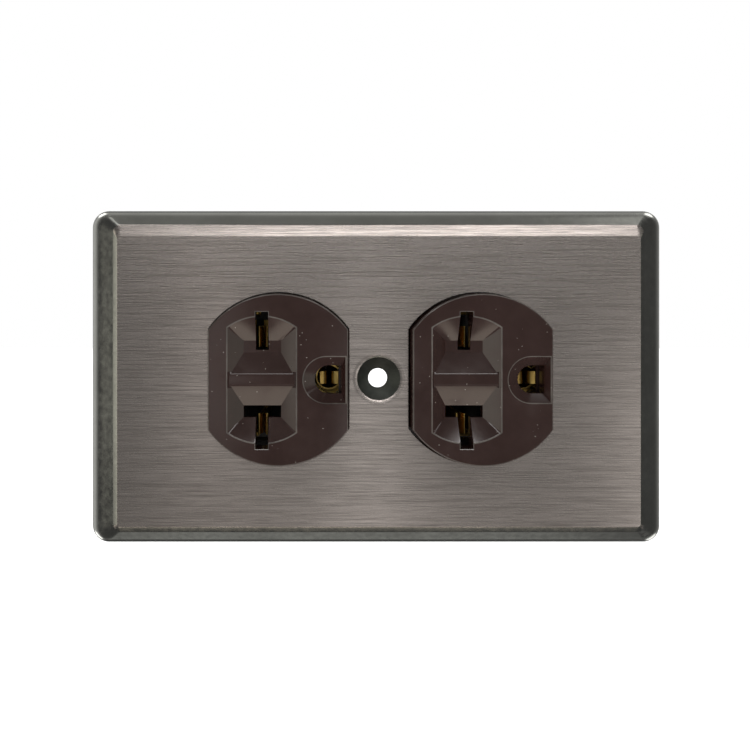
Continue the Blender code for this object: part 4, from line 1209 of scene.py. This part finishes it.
make_wall_plate()
make_face_cover()
make_base_body()
make_strap()
for side_name, side in (("upper", 1), ("lower", -1)):
    make_line_contact(side_name, side)
    for end_name, hand in (("left", -1), ("right", 1)):
        make_terminal(f"{side_name}_{end_name}", hand * TERMINAL_X, side)
        make_assembly_screw(f"{side_name}_{end_name}", hand * ASSEMBLY_X, side * ASSEMBLY_Z)
for end_name, hand in (("left", -1), ("right", 1)):
    make_ground_contact(end_name, hand * OUTLET_X)
    make_rivet(end_name, hand * OUTLET_X + GROUND_X - RIVET_OFFSET)
    make_box_fastener(end_name, hand * BOX_SCREW_X)
make_ground_terminal()


# ---------------- floor, light and camera

FLOOR_Z = -0.2
ROOM_COLOUR = (0.12, 0.12, 0.118)
# Soft patches of light in the room: azimuth from the front towards +X, elevation, half-width and half-height
# in degrees, where in the half-width the edge starts to fade, and colour
SOFT_PATCHES = (
    (8, -6, 64, 62, 0.88, (0.1, 0.1, 0.097)),
    (12, 28, 43, 5, 0.35, (6.6, 6.45, 6.35)),
    (-42, 60, 20, 7, 0.6, (3.5, 3.5, 3.45)),
    (62, 60, 20, 7, 0.6, (1.0, 1.0, 0.98)),
    (0, -52, 34, 5, 0.85, (2.0, 1.75, 1.45)),
    (14, -26, 34, 6, 0.5, (0.55, 0.52, 0.5)),
    (-9, -5, 5, 14, 0.3, (0.65, 0.6, 0.57)),
    (7, -12, 4, 22, 0.3, (0.85, 0.83, 0.81)),
    (39, -13, 12, 18, 0.3, (1.1, 1.06, 1.02)),
    (-58.5, -3, 12, 26, 0.9, (1.3, 1.27, 1.1)),
    (60, -3, 8, 26, 0.6, (0.5, 0.54, 0.46)),
    (0, -101, 40, 9, 0.5, (0.5, 0.5, 0.48)),
    (0, 114, 70, 30, 0.2, (0.75, 0.75, 0.73)),
    (0, 84, 60, 12, 0.5, (0.22, 0.22, 0.21)),
    (-113, 0, 31, 60, 0.4, (0.85, 0.85, 0.83)),
    (128, 0, 42, 60, 0.3, (0.28, 0.28, 0.27)),
    (114, 40, 13, 13, 0.5, (5.0, 5.0, 4.9)),
    (-124, 42, 13, 13, 0.5, (5.0, 5.0, 4.9)),
    (116, -38, 13, 12, 0.5, (3.5, 3.5, 3.4)),
    (-124, -38, 13, 12, 0.5, (3.5, 3.5, 3.4)),
)


def make_floor():
    """A plain pale floor well below the object."""
    bm = bmesh.new()
    bmesh.ops.create_grid(bm, x_segments=1, y_segments=1, size=4.0)
    mesh = bpy.data.meshes.new("floor")
    bm.to_mesh(mesh)
    bm.free()
    floor = placed("floor", mesh)
    floor.location = (0, 0, FLOOR_Z)
    floor.visible_glossy = False
    shade = Shade("pale_floor", (0.8, 0.8, 0.8), 0.9, specular=0.0)
    shade.set("Emission Color", (1.0, 1.0, 1.0, 1.0))
    shade.set("Emission Strength", 0.8)
    mesh.materials.append(shade.material)


def make_world():
    """White studio seen directly; as a light, a dim room with soft bright patches round it."""
    world = bpy.data.worlds.new("studio")
    world.use_nodes = True
    bpy.context.scene.world = world
    tree = world.node_tree
    tree.nodes.clear()
    direction = add_node(tree, "ShaderNodeTexCoord").outputs["Generated"]
    total = (*ROOM_COLOUR, 1)
    for azimuth, elevation, half_width, half_height, edge, colour in SOFT_PATCHES:
        turn, rise = math.radians(azimuth), math.radians(elevation)
        centre = Matrix.Rotation(turn, 3, "Z") @ Matrix.Rotation(-rise, 3, "X") @ Vector((0, -1, 0))
        wide, high = [2 * math.sin(math.radians(half) / 2) for half in (half_width, half_height)]
        values = {"Location": centre, "Rotation": (-rise, 0, turn), "Scale": (wide, max(wide, high), high)}
        values["Vector"] = direction
        offset = add_node(tree, "ShaderNodeMapping", values, vector_type="TEXTURE").outputs["Vector"]
        away = add_node(tree, "ShaderNodeVectorMath", {0: offset}, operation="LENGTH").outputs["Value"]
        values = {"Value": away, "From Min": edge, "From Max": 1.0, "To Min": 1.0, "To Max": 0.0}
        fade = add_node(tree, "ShaderNodeMapRange", values, interpolation_type="SMOOTHSTEP").outputs["Result"]
        settings = {"data_type": "RGBA", "blend_type": "ADD", "clamp_result": False}
        total = add_node(tree, "ShaderNodeMix", {0: fade, 6: total, 7: (*colour, 1)}, **settings).outputs[2]
    light = add_node(tree, "ShaderNodeBackground", {"Color": total}).outputs["Background"]
    seen = add_node(tree, "ShaderNodeBackground", {"Color": (1, 1, 1, 1)}).outputs["Background"]
    to_camera = add_node(tree, "ShaderNodeLightPath").outputs["Is Camera Ray"]
    mix = add_node(tree, "ShaderNodeMixShader", {"Fac": to_camera, 1: light, 2: seen}).outputs["Shader"]
    add_node(tree, "ShaderNodeOutputWorld", {"Surface": mix})


def make_camera():
    """Square-on camera, shifted so that the plate's centre is at mid-frame."""
    data = bpy.data.cameras.new("camera")
    data.lens = LENS
    data.sensor_width = SENSOR
    data.shift_x = -CAMERA_X / FRAME_WIDTH + SHIFT_TRIM[0]
    data.shift_y = -CAMERA_Z / FRAME_WIDTH + SHIFT_TRIM[1]
    data.clip_start = 0.005
    data.clip_end = 20.0
    camera = placed("camera", data)
    camera.location = (CAMERA_X, -CAMERA_DISTANCE, CAMERA_Z)
    camera.rotation_euler = (math.pi / 2, 0, 0)
    bpy.context.scene.camera = camera


make_floor()
make_world()
make_camera()
bpy.context.scene.view_settings.view_transform = "Standard"
